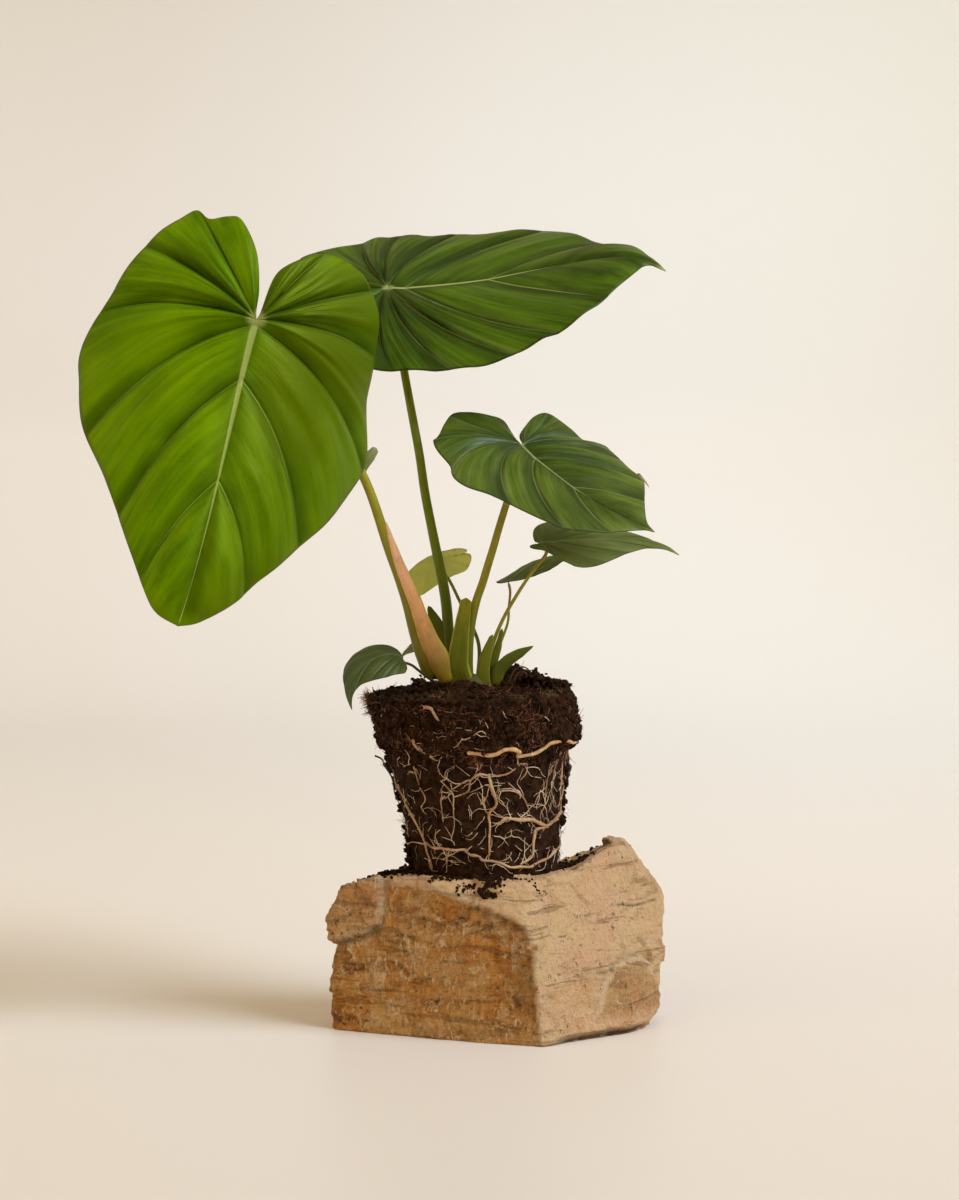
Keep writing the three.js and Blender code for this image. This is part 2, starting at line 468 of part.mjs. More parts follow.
class LeafSurface {
  constructor(leaf) {
    this.leaf = leaf;
    this.midrib = new THREE.CubicBezierCurve3(...leaf.midrib.map(vector));
    this.length = this.midrib.getLength();
    this.margins = [leaf.left, leaf.right].map((points) => {
      const outline = [[0, 0], ...points, [this.length, 0]];
      return new THREE.SplineCurve(outline.map((point) => new THREE.Vector2(...point)));
    });
  }

  // Frame of the midrib: its point, the way to the tip, to the right and out of the upper face.
  frameAt(distance) {
    const { faceBase, faceTip, lobeCurl } = this.leaf;
    const share = THREE.MathUtils.clamp(distance / this.length, 0, 1);
    const tangent = this.midrib.getTangent(share);
    const face = vector(faceBase).lerp(vector(faceTip), share);
    face.addScaledVector(tangent, -face.dot(tangent)).normalize();
    const point = this.midrib.getPoint(share);
    if (distance < 0) {
      point.addScaledVector(tangent, distance);
      point.addScaledVector(face, (-lobeCurl * distance ** 2) / this.length);
    }
    return { point, face, side: new THREE.Vector3().crossVectors(tangent, face) };
  }

  // Point of the smooth blade: across is negative on the left half.
  smoothPoint(distance, across) {
    const { point, face, side } = this.frameAt(distance);
    const half = across < 0 ? 0 : 1;
    const rise = THREE.MathUtils.degToRad(this.leaf.rise[half]);
    const bend = THREE.MathUtils.degToRad(this.leaf.droop[half]) / this.leaf.halfWidth;
    const end = rise - bend * Math.abs(across);
    const out = (Math.sin(rise) - Math.sin(end)) / bend;
    const up = (Math.cos(end) - Math.cos(rise)) / bend;
    return point.addScaledVector(side, Math.sign(across) * out).addScaledVector(face, up);
  }

  normalAt(distance, across) {
    const step = 0.5;
    const lengthwise = this.smoothPoint(distance + step, across).sub(this.smoothPoint(distance - step, across));
    const sideways = this.smoothPoint(distance, across + step).sub(this.smoothPoint(distance, across - step));
    return sideways.cross(lengthwise).normalize();
  }

  // Place on the flat leaf of the point at share v along the side vein that ends at share u of
  // the margin. Veins start together at the junction, then one after another along the midrib.
  veinPlace(u, v) {
    if (u >= 1) return { distance: this.length, across: 0 };
    const half = v < 0 ? 0 : 1;
    const reach = Math.abs(v);
    const margin = this.margins[half];
    const end = margin.getPointAt(CLEFT_SHARE + (1 - CLEFT_SHARE) * u);
    const start = new THREE.Vector2((Math.max(0, u - 0.4) / 0.6) * this.length, 0);
    const bow = 0.1 * start.distanceTo(end) * THREE.MathUtils.smoothstep(u, 0.1, 0.4);
    const middle = start.clone().add(end).multiplyScalar(0.5);
    middle.x -= bow;
    const place = new THREE.QuadraticBezierCurve(start, middle, end).getPoint(reach);
    const cleft = margin.getPointAt(CLEFT_SHARE * reach);
    const straight = margin.getPointAt(CLEFT_SHARE).multiplyScalar(reach);
    const nearCleft = 1 - THREE.MathUtils.smoothstep(u, 0, 0.12);
    place.add(cleft.sub(straight).multiplyScalar(nearCleft));
    return { distance: place.x, across: (half === 0 ? -1 : 1) * Math.max(place.y, 0) };
  }

  // Height of the quilting: the blade swells between the sunken side veins.
  relief(u, v) {
    const { veins, quilting } = this.leaf;
    const reach = Math.abs(v);
    const swell = 0.5 - 0.5 * Math.cos(2 * Math.PI * veins * u);
    return quilting * swell * (Math.sin(Math.PI * reach ** 0.85) + 0.15 * reach);
  }

  // Point of the blade's upper (side 1) or lower (side -1) skin.
  skinPoint(u, v, side, thickness) {
    const { distance, across } = this.veinPlace(u, v);
    const offset = this.relief(u, v) + (side * thickness) / 2;
    const point = this.smoothPoint(distance, across);
    return point.addScaledVector(this.normalAt(distance, across), offset);
  }
}

// The blade as a closed shell: one grid for both skins, so their triangles match, and a rim.
function buildBlade(surface, thickness) {
  const [columns, half] = surface.leaf.grid;
  const grid = new THREE.PlaneGeometry(1, 1, columns, 2 * half);
  const place = grid.attributes.position;
  const points = [];
  for (const side of [1, -1]) {
    for (let i = 0; i < place.count; i += 1) {
      points.push(...surface.skinPoint(place.getX(i) + 0.5, 2 * place.getY(i), side, thickness).toArray());
    }
  }
  const upper = Array.from(grid.index.array);
  const triangles = [...upper];
  for (let i = 0; i < upper.length; i += 3) {
    triangles.push(upper[i] + place.count, upper[i + 2] + place.count, upper[i + 1] + place.count);
  }
  const wall = (a, b) => triangles.push(a, b + place.count, b, a, a + place.count, b + place.count);
  const row = columns + 1;
  const lastRow = row * 2 * half;
  for (let i = 0; i < columns; i += 1) {
    wall(i + 1, i);
    wall(lastRow + i, lastRow + i + 1);
  }
  for (let j = 0; j < 2 * half; j += 1) {
    wall(row * j, row * (j + 1));
    wall(row * (j + 1) + columns, row * j + columns);
  }
  const geometry = new THREE.BufferGeometry();
  geometry.setAttribute('position', new THREE.BufferAttribute(new Float32Array(points), 3));
  geometry.setIndex(triangles);
  return solidFrom(geometry);
}

// The stalk rises to the junction and ends square against the underside of the blade.
function stalkPath(surface) {
  const { stalk, underRun, stalkRadii, thickness } = surface.leaf;
  const setback = Math.max(JUNCTION_SETBACK, stalkRadii.at(-1) + 1);
  const meet = surface.smoothPoint(setback, 0);
  const face = surface.normalAt(setback, 0);
  const under = meet.clone().addScaledVector(face, -underRun);
  const end = meet.clone().addScaledVector(face, 0.2 * thickness);
  return [...stalk, under.toArray(), end.toArray()];
}

function buildLeaf(leaf) {
  const surface = new LeafSurface(leaf);
  const blade = buildBlade(surface, leaf.thickness);
  const clearance = buildBlade(surface, leaf.thickness + 2 * GAP);
  const radii = [...leaf.stalkRadii, leaf.stalkRadii.at(-1), leaf.stalkRadii.at(-1)];
  const sizes = { path: stalkPath(surface), radii };
  const stalk = tube(sizes).subtract(clearance);
  return { leaf, blade, stalk: largestBody(stalk), cutter: tube(sizes, GAP) };
}

// Crumbs of soil that lie on the stone

function buildCrumbs(crumbs, stone) {
  const heap = crumbs.map(([x, y, z, radius]) => {
    const crumb = new THREE.IcosahedronGeometry(radius, 0).rotateX(x).rotateZ(y).scale(1.15, 1, 0.85);
    return solidFrom(crumb.translate(x, y, z));
  }).reduce((whole, crumb) => whole.add(crumb));
  const clearances = [[0, 0, GAP], [0, -GAP, GAP], [0, -GAP, 0]];
  return largestBody(clearances.reduce((rest, shift) => rest.subtract(stone.translate(shift)), heap));
}

// Assembly: each piece is cut clear of those that came before it.

const philodendron = new THREE.Group();
philodendron.name = 'philodendron';

const addPiece = (solid, name, colour, roughness = 0.6) => {
  philodendron.add(meshOf(solid, name, colour, roughness));
};

const stone = buildStone();
addPiece(stone, 'stone', COLOURS.stone, 0.9);

const rhizome = tube({ ...RHIZOME, stepLength: 6 });
const rhizomeCutter = tube({ ...RHIZOME, stepLength: 6 }, GAP);
const rootBall = buildRootBall(rhizomeCutter);
const shifts = [[0, 0, GAP], [GAP, 0, 0], [-GAP, 0, 0], [0, GAP, 0], [0, -GAP, 0]];
const soilCutter = shifts.reduce((whole, shift) => whole.add(rootBall.translate(shift)), rootBall);
addPiece(rootBall, 'root_ball', COLOURS.soil, 1);
addPiece(rhizome, 'rhizome', COLOURS.rhizome);
addPiece(buildRootWeb(), 'root_web', COLOURS.root, 0.8);
addPiece(rootTube(ROOT_BAND), 'root_band', COLOURS.root, 0.8);

const taken = [rhizomeCutter, soilCutter];
const cutClear = (solid) => largestBody(taken.reduce((rest, cutter) => rest.subtract(cutter), solid));

for (const { leaf, blade, stalk, cutter } of LEAVES.map(buildLeaf)) {
  addPiece(blade, `${leaf.name}_blade`, leaf.green, 0.45);
  addPiece(cutClear(stalk), `${leaf.name}_stalk`, leaf.stalkColour);
  taken.push(cutter);
}
for (const sheath of SHEATHS) {
  const sizes = { broad: [1, 0, 0], stepLength: 6, ...sheath };
  addPiece(cutClear(tube(sizes)), sheath.name, sheath.colour);
  taken.push(tube(sizes, GAP));
}
addPiece(cutClear(tube({ ...YOUNG_ROLL, stepLength: 4 })), YOUNG_ROLL.name, YOUNG_ROLL.colour);

for (const { name, crumbs } of CRUMB_HEAPS) {
  addPiece(buildCrumbs(crumbs, stone), name, COLOURS.soil, 1);
}

export default philodendron;
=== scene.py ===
"""Looks of a hybrid philodendron that stands on its bare root ball, on a rough block of stone.

The solids of the part are loaded as a fixed frame. Leaves, stalks, soil, roots and stone are then
built around them in finer meshes, from the same sizes. Sizes are in millimetres and are brought to
metres when a mesh is handed over. +X is the viewer's right and +Y leads away from the viewer.
"""

import logging
import math
from dataclasses import dataclass
from enum import Enum
from typing import Iterable, Sequence

import bmesh
import bpy
import numpy as np
from mathutils import Matrix, Vector, noise
from mathutils.bvhtree import BVHTree


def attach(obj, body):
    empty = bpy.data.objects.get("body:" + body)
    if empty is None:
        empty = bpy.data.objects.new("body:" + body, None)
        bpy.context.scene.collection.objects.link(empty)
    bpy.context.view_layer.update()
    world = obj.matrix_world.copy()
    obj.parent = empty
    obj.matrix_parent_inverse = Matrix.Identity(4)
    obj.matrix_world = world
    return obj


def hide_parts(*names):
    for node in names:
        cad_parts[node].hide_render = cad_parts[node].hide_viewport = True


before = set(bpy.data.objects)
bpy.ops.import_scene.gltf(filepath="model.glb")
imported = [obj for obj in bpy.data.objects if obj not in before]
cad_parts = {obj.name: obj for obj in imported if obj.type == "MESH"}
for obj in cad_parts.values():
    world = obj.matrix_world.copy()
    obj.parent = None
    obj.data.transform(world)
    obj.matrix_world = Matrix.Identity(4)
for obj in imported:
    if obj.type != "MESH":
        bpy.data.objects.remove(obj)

LOG = logging.getLogger("philodendron")
MM = 0.001
BODY = "root"
Colour = tuple[float, float, float]
Point = tuple[float, float, float]
Pair = tuple[float, float]


# Numbers along curves


def smooth_step(value: np.ndarray, low: float, high: float) -> np.ndarray:
    """Smooth rise from 0 at low to 1 at high."""
    share = np.clip((value - low) / (high - low), 0, 1)
    return share * share * (3 - 2 * share)


def unit(rows: np.ndarray) -> np.ndarray:
    """Rows of vectors, each brought to length 1."""
    return rows / np.maximum(np.linalg.norm(rows, axis=-1, keepdims=True), 1e-12)


def spread(values: Sequence[float], share: np.ndarray) -> np.ndarray:
    """Value at a share of the way through evenly spaced values."""
    return np.interp(share, np.linspace(0, 1, len(values)), values)


def grain(points: np.ndarray, size: float, octaves: int = 3, seed: float = 0.0) -> np.ndarray:
    """Fractal noise from about -1 to 1.

    Args:
        points: rows of X, Y, Z in millimetres.
        size: width of the largest lumps in millimetres.
        octaves: how many finer layers are added.
        seed: shift that gives another pattern.

    Returns:
        One value for each row.
    """
    shift = Vector((seed, seed * 1.7, seed * 0.6))
    return np.array(
        [noise.fractal(Vector(p) / size + shift, 1.0, 2.1, octaves) for p in points]
    )


class MarginCurve:
    """Uniform Catmull-Rom curve on the flat leaf, read by arc length."""

    STEPS = 200

    def __init__(self, points: Sequence[Pair]) -> None:
        """Measures the curve through the points."""
        self.points = np.array(points, float)
        self.shares = np.linspace(0, 1, self.STEPS + 1)
        steps = np.diff(self.at(self.shares), axis=0)
        self.lengths = np.concatenate([[0], np.cumsum(np.linalg.norm(steps, axis=1))])

    def at(self, share: np.ndarray) -> np.ndarray:
        """Point at a share of the curve's own parameter."""
        last = len(self.points) - 1
        place = last * np.asarray(share, float)
        i = np.clip(np.floor(place).astype(int), 0, last)
        w = (place - i)[..., None]
        before, here = self.points[np.maximum(i - 1, 0)], self.points[i]
        after, beyond = self.points[np.minimum(i + 1, last)], self.points[np.minimum(i + 2, last)]
        leave, arrive = (after - before) / 2, (beyond - here) / 2
        cubic = (2 * here - 2 * after + leave + arrive) * w**3
        square = (-3 * here + 3 * after - 2 * leave - arrive) * w**2
        return cubic + square + leave * w + here

    def at_length(self, share: np.ndarray) -> np.ndarray:
        """Point at a share of the curve's length."""
        return self.at(np.interp(np.asarray(share) * self.lengths[-1], self.lengths, self.shares))


class Route:
    """Centripetal Catmull-Rom curve through points in space, read by arc length."""

    STEPS = 40

    def __init__(self, points: Sequence[Point]) -> None:
        """Samples the curve densely and carries a side direction along it."""
        given = np.array(points, float)
        ends = [2 * given[0] - given[1]], [2 * given[-1] - given[-2]]
        knots = np.concatenate([ends[0], given, ends[1]])
        rows = [self._stretch(knots[i : i + 4]) for i in range(len(given) - 1)]
        self.rows = np.concatenate([*rows, given[-1:]])
        steps = np.linalg.norm(np.diff(self.rows, axis=0), axis=1)
        self.distance = np.concatenate([[0], np.cumsum(steps)])
        self.length = float(self.distance[-1])

    def _stretch(self, knots: np.ndarray) -> np.ndarray:
        """Samples of the stretch between the middle two of four knots."""
        gaps = np.maximum(np.linalg.norm(np.diff(knots, axis=0), axis=1) ** 0.5, 1e-4)
        a, b, c, d = knots
        leave = (b - a) / gaps[0] - (c - a) / (gaps[0] + gaps[1]) + (c - b) / gaps[1]
        arrive = (c - b) / gaps[1] - (d - b) / (gaps[1] + gaps[2]) + (d - c) / gaps[2]
        leave, arrive = leave * gaps[1], arrive * gaps[1]
        w = np.linspace(0, 1, self.STEPS, endpoint=False)[:, None]
        cubic = (2 * b - 2 * c + leave + arrive) * w**3
        return cubic + (-3 * b + 3 * c - 2 * leave - arrive) * w**2 + leave * w + b

    def at(self, share: np.ndarray) -> np.ndarray:
        """Points at shares of the length."""
        along = np.asarray(share) * self.length
        return np.stack([np.interp(along, self.distance, self.rows[:, k]) for k in range(3)], -1)

    def tangent(self, share: np.ndarray) -> np.ndarray:
        """Directions of travel at shares of the length."""
        step = 0.004
        return unit(self.at(np.clip(share + step, 0, 1)) - self.at(np.clip(share - step, 0, 1)))


# Handing meshes over


def hand_over(
    name: str,
    bm: bmesh.types.BMesh,
    materials: Sequence[bpy.types.Material],
    stands_for: Sequence[str] = (),
) -> bpy.types.Object:
    """Makes an object of a bmesh in millimetres and lets it ride on the part.

    Args:
        name: the object's name.
        bm: the finished mesh, which is freed here.
        materials: finishes in the order of the faces' material numbers.
        stands_for: names of the solids that it replaces.

    Returns:
        The object.
    """
    bmesh.ops.scale(bm, vec=(MM, MM, MM), verts=bm.verts)
    mesh = bpy.data.meshes.new(name)
    bm.to_mesh(mesh)
    bm.free()
    mesh.polygons.foreach_set("use_smooth", [True] * len(mesh.polygons))
    for material in materials:
        mesh.materials.append(material)
    piece = bpy.data.objects.new(name, mesh)
    bpy.context.scene.collection.objects.link(piece)
    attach(piece, BODY)
    if stands_for:
        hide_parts(*stands_for)
    LOG.info("%s: %d faces", name, len(mesh.polygons))
    return piece


def evaluated_copy(piece: bpy.types.Object) -> bmesh.types.BMesh:
    """A bmesh of an object's evaluated geometry; the object is removed."""
    bpy.context.view_layer.update()
    graph = bpy.context.evaluated_depsgraph_get()
    mesh = bpy.data.meshes.new_from_object(piece.evaluated_get(graph))
    bm = bmesh.new()
    bm.from_mesh(mesh)
    bpy.data.objects.remove(piece)
    bpy.data.meshes.remove(mesh)
    return bm


def set_places(bm: bmesh.types.BMesh, points: np.ndarray) -> None:
    """Moves the vertices of a bmesh to rows of points."""
    for vert, point in zip(bm.verts, points):
        vert.co = point


def places(bm: bmesh.types.BMesh) -> np.ndarray:
    """Rows of the vertices' places."""
    return np.array([vert.co for vert in bm.verts], float).reshape(-1, 3)


def set_layer(bm: bmesh.types.BMesh, name: str, values: np.ndarray) -> None:
    """Stores one number or one vector for each vertex under a name."""
    layers = bm.verts.layers
    layer = (layers.float_vector if values.ndim > 1 else layers.float).new(name)
    for vert, value in zip(bm.verts, values):
        vert[layer] = Vector(value) if values.ndim > 1 else float(value)


def unit_grid(columns: int, rows: int) -> tuple[bmesh.types.BMesh, np.ndarray]:
    """A flat grid and the place of its vertices, each from 0 to 1 both ways."""
    bm = bmesh.new()
    bmesh.ops.create_grid(bm, x_segments=columns, y_segments=rows, size=0.5)
    bm.verts.ensure_lookup_table()
    return bm, places(bm)[:, :2] + 0.5


# Finishes


class NodeSheet:
    """The node tree of one finish, with short calls for the nodes that the finishes share."""

    # Places of the colour sockets on a Mix node
    MIX_A, MIX_B, MIX_RESULT = 6, 7, 2

    def __init__(self, name: str, roughness: float) -> None:
        """Starts a finish with a bare shader."""
        self.material = bpy.data.materials.new(name)
        self.material.use_nodes = True
        self.tree = self.material.node_tree
        self.shader = self.tree.nodes["Principled BSDF"]
        self.shader.inputs["Roughness"].default_value = roughness

    def add(self, kind: str, **settings: object) -> bpy.types.Node:
        """A new node with its options set."""
        node = self.tree.nodes.new(kind)
        for key, value in settings.items():
            setattr(node, key, value)
        return node

    def feed(self, socket: bpy.types.NodeSocket, value: object) -> None:
        """Links a socket to the value where that is a socket, and otherwise sets it."""
        if isinstance(value, bpy.types.NodeSocket):
            self.tree.links.new(value, socket)
        elif isinstance(value, tuple) and len(value) == 3 and socket.type == "RGBA":
            socket.default_value = (*value, 1.0)
        else:
            socket.default_value = value

    def math(self, operation: str, a: object, b: object = 0.0) -> object:
        """Result of a sum on one or two numbers."""
        node = self.add("ShaderNodeMath", operation=operation)
        self.feed(node.inputs[0], a)
        self.feed(node.inputs[1], b)
        return node.outputs[0]

    def times(self, a: object, b: object) -> object:
        """Product of two numbers."""
        return self.math("MULTIPLY", a, b)

    def plus(self, a: object, b: object) -> object:
        """Sum of two numbers."""
        return self.math("ADD", a, b)

    def minus(self, a: object, b: object) -> object:
        """The first number less the second."""
        return self.math("SUBTRACT", a, b)

    def most(self, a: object, b: object) -> object:
        """The larger of two numbers."""
        return self.math("MAXIMUM", a, b)

    def size(self, a: object) -> object:
        """A number without its sign."""
        return self.math("ABSOLUTE", a)

    def part(self, a: object) -> object:
        """What a number has behind its point."""
        return self.math("FRACT", a)

    def ramp(self, value: object, low: object, high: object, start: float = 0.0, end: float = 1.0) -> object:
        """Smooth change from start at low to end at high."""
        node = self.add("ShaderNodeMapRange", interpolation_type="SMOOTHSTEP")
        keys = ("Value", "From Min", "From Max", "To Min", "To Max")
        for key, number in zip(keys, (value, low, high, start, end)):
            self.feed(node.inputs[key], number)
        return node.outputs["Result"]

    def blend(self, share: object, a: object, b: object) -> object:
        """Colour between a and b."""
        node = self.add("ShaderNodeMix", data_type="RGBA")
        self.feed(node.inputs[0], share)
        self.feed(node.inputs[self.MIX_A], a)
        self.feed(node.inputs[self.MIX_B], b)
        return node.outputs[self.MIX_RESULT]

    def tint(
        self,
        base: object,
        colour: object,
        value: object,
        low: float,
        high: float,
        start: float = 0.0,
        end: float = 1.0,
    ) -> object:
        """A base colour that turns to another as a value rises from low to high.

        Args:
            base: colour that is kept where the share is 0.
            colour: colour at a share of 1.
            value: what the share is read from.
            low: value where the change starts.
            high: value where it ends.
            start: share at low.
            end: share at high.

        Returns:
            The blended colour.
        """
        return self.blend(self.ramp(value, low, high, start, end), base, colour)

    def here(self, stretch: Point = (1.0, 1.0, 1.0), turn: Point = (0.0, 0.0, 0.0)) -> object:
        """Object coordinates, stretched and turned."""
        coordinates = self.add("ShaderNodeTexCoord").outputs["Object"]
        mapping = self.add("ShaderNodeMapping")
        self.feed(mapping.inputs["Vector"], coordinates)
        mapping.inputs["Scale"].default_value = stretch
        mapping.inputs["Rotation"].default_value = turn
        return mapping.outputs[0]

    def attribute(self, name: str, output: str = "Fac") -> object:
        """A value that the mesh carries."""
        return self.add("ShaderNodeAttribute", attribute_name=name).outputs[output]

    def noise(
        self, vector: object, scale: float, detail: float = 4.0, rough: float = 0.55, warp: float = 0.0
    ) -> object:
        """Cloudy noise from 0 to 1."""
        node = self.add("ShaderNodeTexNoise")
        self.feed(node.inputs["Vector"], vector)
        for key, number in (("Scale", scale), ("Detail", detail), ("Roughness", rough), ("Distortion", warp)):
            node.inputs[key].default_value = number
        return node.outputs["Fac"]

    def cells(self, vector: object, scale: float) -> object:
        """Distance to the nearest cell centre."""
        node = self.add("ShaderNodeTexVoronoi")
        self.feed(node.inputs["Vector"], vector)
        node.inputs["Scale"].default_value = scale
        return node.outputs["Distance"]

    def bump(self, height: object, depth: float, strength: float = 1.0) -> None:
        """Adds relief of a depth in metres to the shader's normal."""
        node = self.add("ShaderNodeBump")
        node.inputs["Distance"].default_value = depth
        node.inputs["Strength"].default_value = strength
        self.feed(node.inputs["Height"], height)
        self.feed(self.shader.inputs["Normal"], node.outputs[0])

    def colour(self, value: object) -> None:
        """Gives the shader its colour."""
        self.feed(self.shader.inputs["Base Color"], value)


class Skin(Enum):
    """The two skins of a leaf blade."""

    UPPER = "upper"
    UNDER = "under"


@dataclass(frozen=True)
class LeafFinish:
    """Green of a blade: its two tones, its veins and its gloss, with painted shade beside the veins and on
    one half, and a painted sheen.
    """

    deep: Colour
    light: Colour
    vein: Colour
    margin: Colour
    roughness: float = 0.42
    rib_width: float = 0.55
    midrib_width: float = 1.7
    stripes: float = 0.3
    rib_share: float = 0.7
    # Strength of the painted sheen just past each side vein
    painted_sheen: float = 0.3
    gloss: float = 0.3
    # Strength of the painted shade beside the side veins and the midrib
    shade: float = 0.75
    tip: Colour = (0.2, 0.24, 0.05)
    gloss_tint: Colour = (0.8, 0.9, 0.7)
    specks: float = 0.0
    # Painted shade on the half with negative across: its strength and the dark green it turns to
    left_shade_share: float = 0.0
    left_shade_tone: Colour = (0.08, 0.09, 0.004)

    def build(self, name: str, skin: Skin, intervals: int) -> bpy.types.Material:
        """The finish of one skin of a blade.

        Args:
            name: name of the material.
            skin: which side of the blade.
            intervals: how many spaces the side veins make along each half.

        Returns:
            The material.
        """
        under = skin is Skin.UNDER
        sheet = NodeSheet(name, self.roughness + (0.16 if under else 0.0))
        place = sheet.here()
        column, side, reach = self._vein_place(sheet)
        phase = sheet.size(sheet.minus(sheet.part(sheet.plus(column, 0.5)), 0.5))
        from_rib = sheet.times(phase, sheet.attribute("spacing"))
        stretch = sheet.add("ShaderNodeCombineXYZ")
        sheet.feed(stretch.inputs[0], sheet.times(column, 7.0))
        sheet.feed(stretch.inputs[1], sheet.times(side, 1.3))
        streaks = sheet.noise(stretch.outputs[0], 1.0, 4.0, 0.62, 0.3)
        cloud = sheet.noise(place, 22.0, 3.0)
        pale = self._pale_share(sheet, column, reach, from_rib, intervals)

        tone = sheet.plus(sheet.times(streaks, self.stripes), sheet.times(cloud, 1 - self.stripes))
        green = sheet.tint(self.deep, self.light, tone, 0.3, 0.72)
        fine = sheet.ramp(sheet.noise(place, 700.0, 2.0), 0.5, 0.8, 0.0, 0.25)
        green = sheet.blend(fine, green, self.light)
        # Painted shade: the half with negative across, the viewer's right on the large leaf, is darkened in
        # patches
        if self.left_shade_share:
            left_shade = sheet.ramp(sheet.noise(place, 16.0, 2.0), 0.35, 0.6, 0.4, 1.0)
            left_shade = sheet.times(left_shade, sheet.ramp(side, -0.12, 0.0, self.left_shade_share, 0.0))
            green = sheet.blend(left_shade, green, self.left_shade_tone)
        # Painted shade: the blade turns darker ahead of each side vein, just past it and beside the midrib,
        # where its folds lie in shade
        ahead = sheet.times(sheet.minus(1.0, sheet.part(column)), sheet.attribute("spacing"))
        behind = sheet.times(sheet.part(column), sheet.attribute("spacing"))
        shade = sheet.most(sheet.ramp(ahead, 0.5, 15.0, 1.0, 0.0), sheet.ramp(behind, 0.2, 2.4, 0.7, 0.0))
        shade = sheet.times(shade, sheet.ramp(sheet.noise(place, 26.0, 2.0), 0.3, 0.6, 0.45, 1.0))
        shade = sheet.times(shade, sheet.ramp(column, 0.2, 2.2, 0.2, 1.0))
        shade = sheet.times(shade, sheet.ramp(column, intervals - 1.2, intervals - 0.6, 1.0, 0.0))
        middle = sheet.ramp(sheet.size(sheet.attribute("across")), 1.0, 11.0, 0.6, 0.0)
        shade = sheet.times(sheet.most(shade, middle), self.shade)
        green = sheet.blend(shade, green, tuple(0.55 * part for part in self.deep))
        # Painted sheen: pale streaks just past the side veins stand in for soft highlights on the glossy
        # blade
        painted_sheen = sheet.times(sheet.ramp(behind, 0.4, 5.5, self.painted_sheen, 0.0), sheet.ramp(reach, 0.2, 0.7))
        painted_sheen = sheet.times(painted_sheen, sheet.ramp(sheet.noise(place, 22.0, 2.0), 0.4, 0.6))
        green = sheet.blend(painted_sheen, green, tuple(0.5 * (v + d) for v, d in zip(self.vein, self.light)))
        green = sheet.tint(green, self.margin, reach, 0.975, 1.0, 0.0, 0.6)
        green = sheet.tint(green, self.tip, sheet.attribute("along"), 0.93, 0.99, 0.0, 0.8)
        green = sheet.blend(sheet.times(pale, 0.6 if under else 1.0), green, self.vein)
        if self.specks:
            spots = sheet.ramp(sheet.cells(place, 150.0), 0.14, 0.22, self.specks, 0.0)
            spots = sheet.times(spots, sheet.ramp(sheet.noise(place, 90.0, 2.0), 0.44, 0.5))
            green = sheet.blend(spots, green, (0.09, 0.045, 0.008))
        if under:
            green = sheet.blend(0.5, green, tuple(1.3 * part + 0.006 for part in self.light))
        sheet.colour(green)

        height = sheet.plus(sheet.times(streaks, 0.6), sheet.times(sheet.noise(place, 420.0, 3.0), 0.14))
        height = sheet.plus(height, sheet.ramp(from_rib, 0.0, 2.5, 0.0, 0.5))
        sheet.bump(height, -0.0009 if under else 0.0009, 0.7)
        rough = sheet.plus(sheet.times(cloud, 0.22), self.roughness + (0.1 if under else -0.1))
        sheet.feed(sheet.shader.inputs["Roughness"], rough)
        sheet.shader.inputs["Specular IOR Level"].default_value = self.gloss
        sheet.shader.inputs["Specular Tint"].default_value = (*self.gloss_tint, 1.0)
        return sheet.material

    def _vein_place(self, sheet: NodeSheet) -> tuple[object, object, object]:
        """Column, place across from -1 to 1, and its size."""
        split = sheet.add("ShaderNodeSeparateXYZ")
        sheet.feed(split.inputs[0], sheet.add("ShaderNodeUVMap", uv_map="veins").outputs[0])
        return split.outputs[0], split.outputs[1], sheet.size(split.outputs[1])

    def _pale_share(
        self, sheet: NodeSheet, column: object, reach: object, from_rib: object, intervals: int
    ) -> object:
        """Share of vein colour: side veins, midrib and the star where they meet."""
        patchy = sheet.ramp(sheet.noise(sheet.here(), 30.0, 2.0), 0.35, 0.6, 0.45, 1.0)
        width = sheet.times(sheet.minus(1.25, reach), self.rib_width)
        rib = sheet.ramp(from_rib, sheet.times(width, 0.25), width, self.rib_share, 0.0)
        rib = sheet.times(sheet.times(rib, patchy), sheet.ramp(column, 0.45, 0.8))
        rib = sheet.times(rib, sheet.ramp(column, intervals - 0.7, intervals - 0.3, 1.0, 0.0))
        rib = sheet.times(rib, sheet.ramp(reach, 0.55, 1.0, 1.0, 0.1))
        along = sheet.attribute("along")
        half_width = sheet.ramp(along, -0.2, 0.8, self.midrib_width, 0.3)
        across = sheet.size(sheet.attribute("across"))
        middle = sheet.ramp(across, sheet.times(half_width, 0.6), half_width, 0.9, 0.0)
        middle = sheet.times(middle, sheet.ramp(along, -0.012, 0.004))
        width = self.midrib_width
        star = sheet.ramp(sheet.attribute("heart"), width, 2.8 * width, 0.85, 0.0)
        return sheet.most(sheet.most(rib, middle), star)


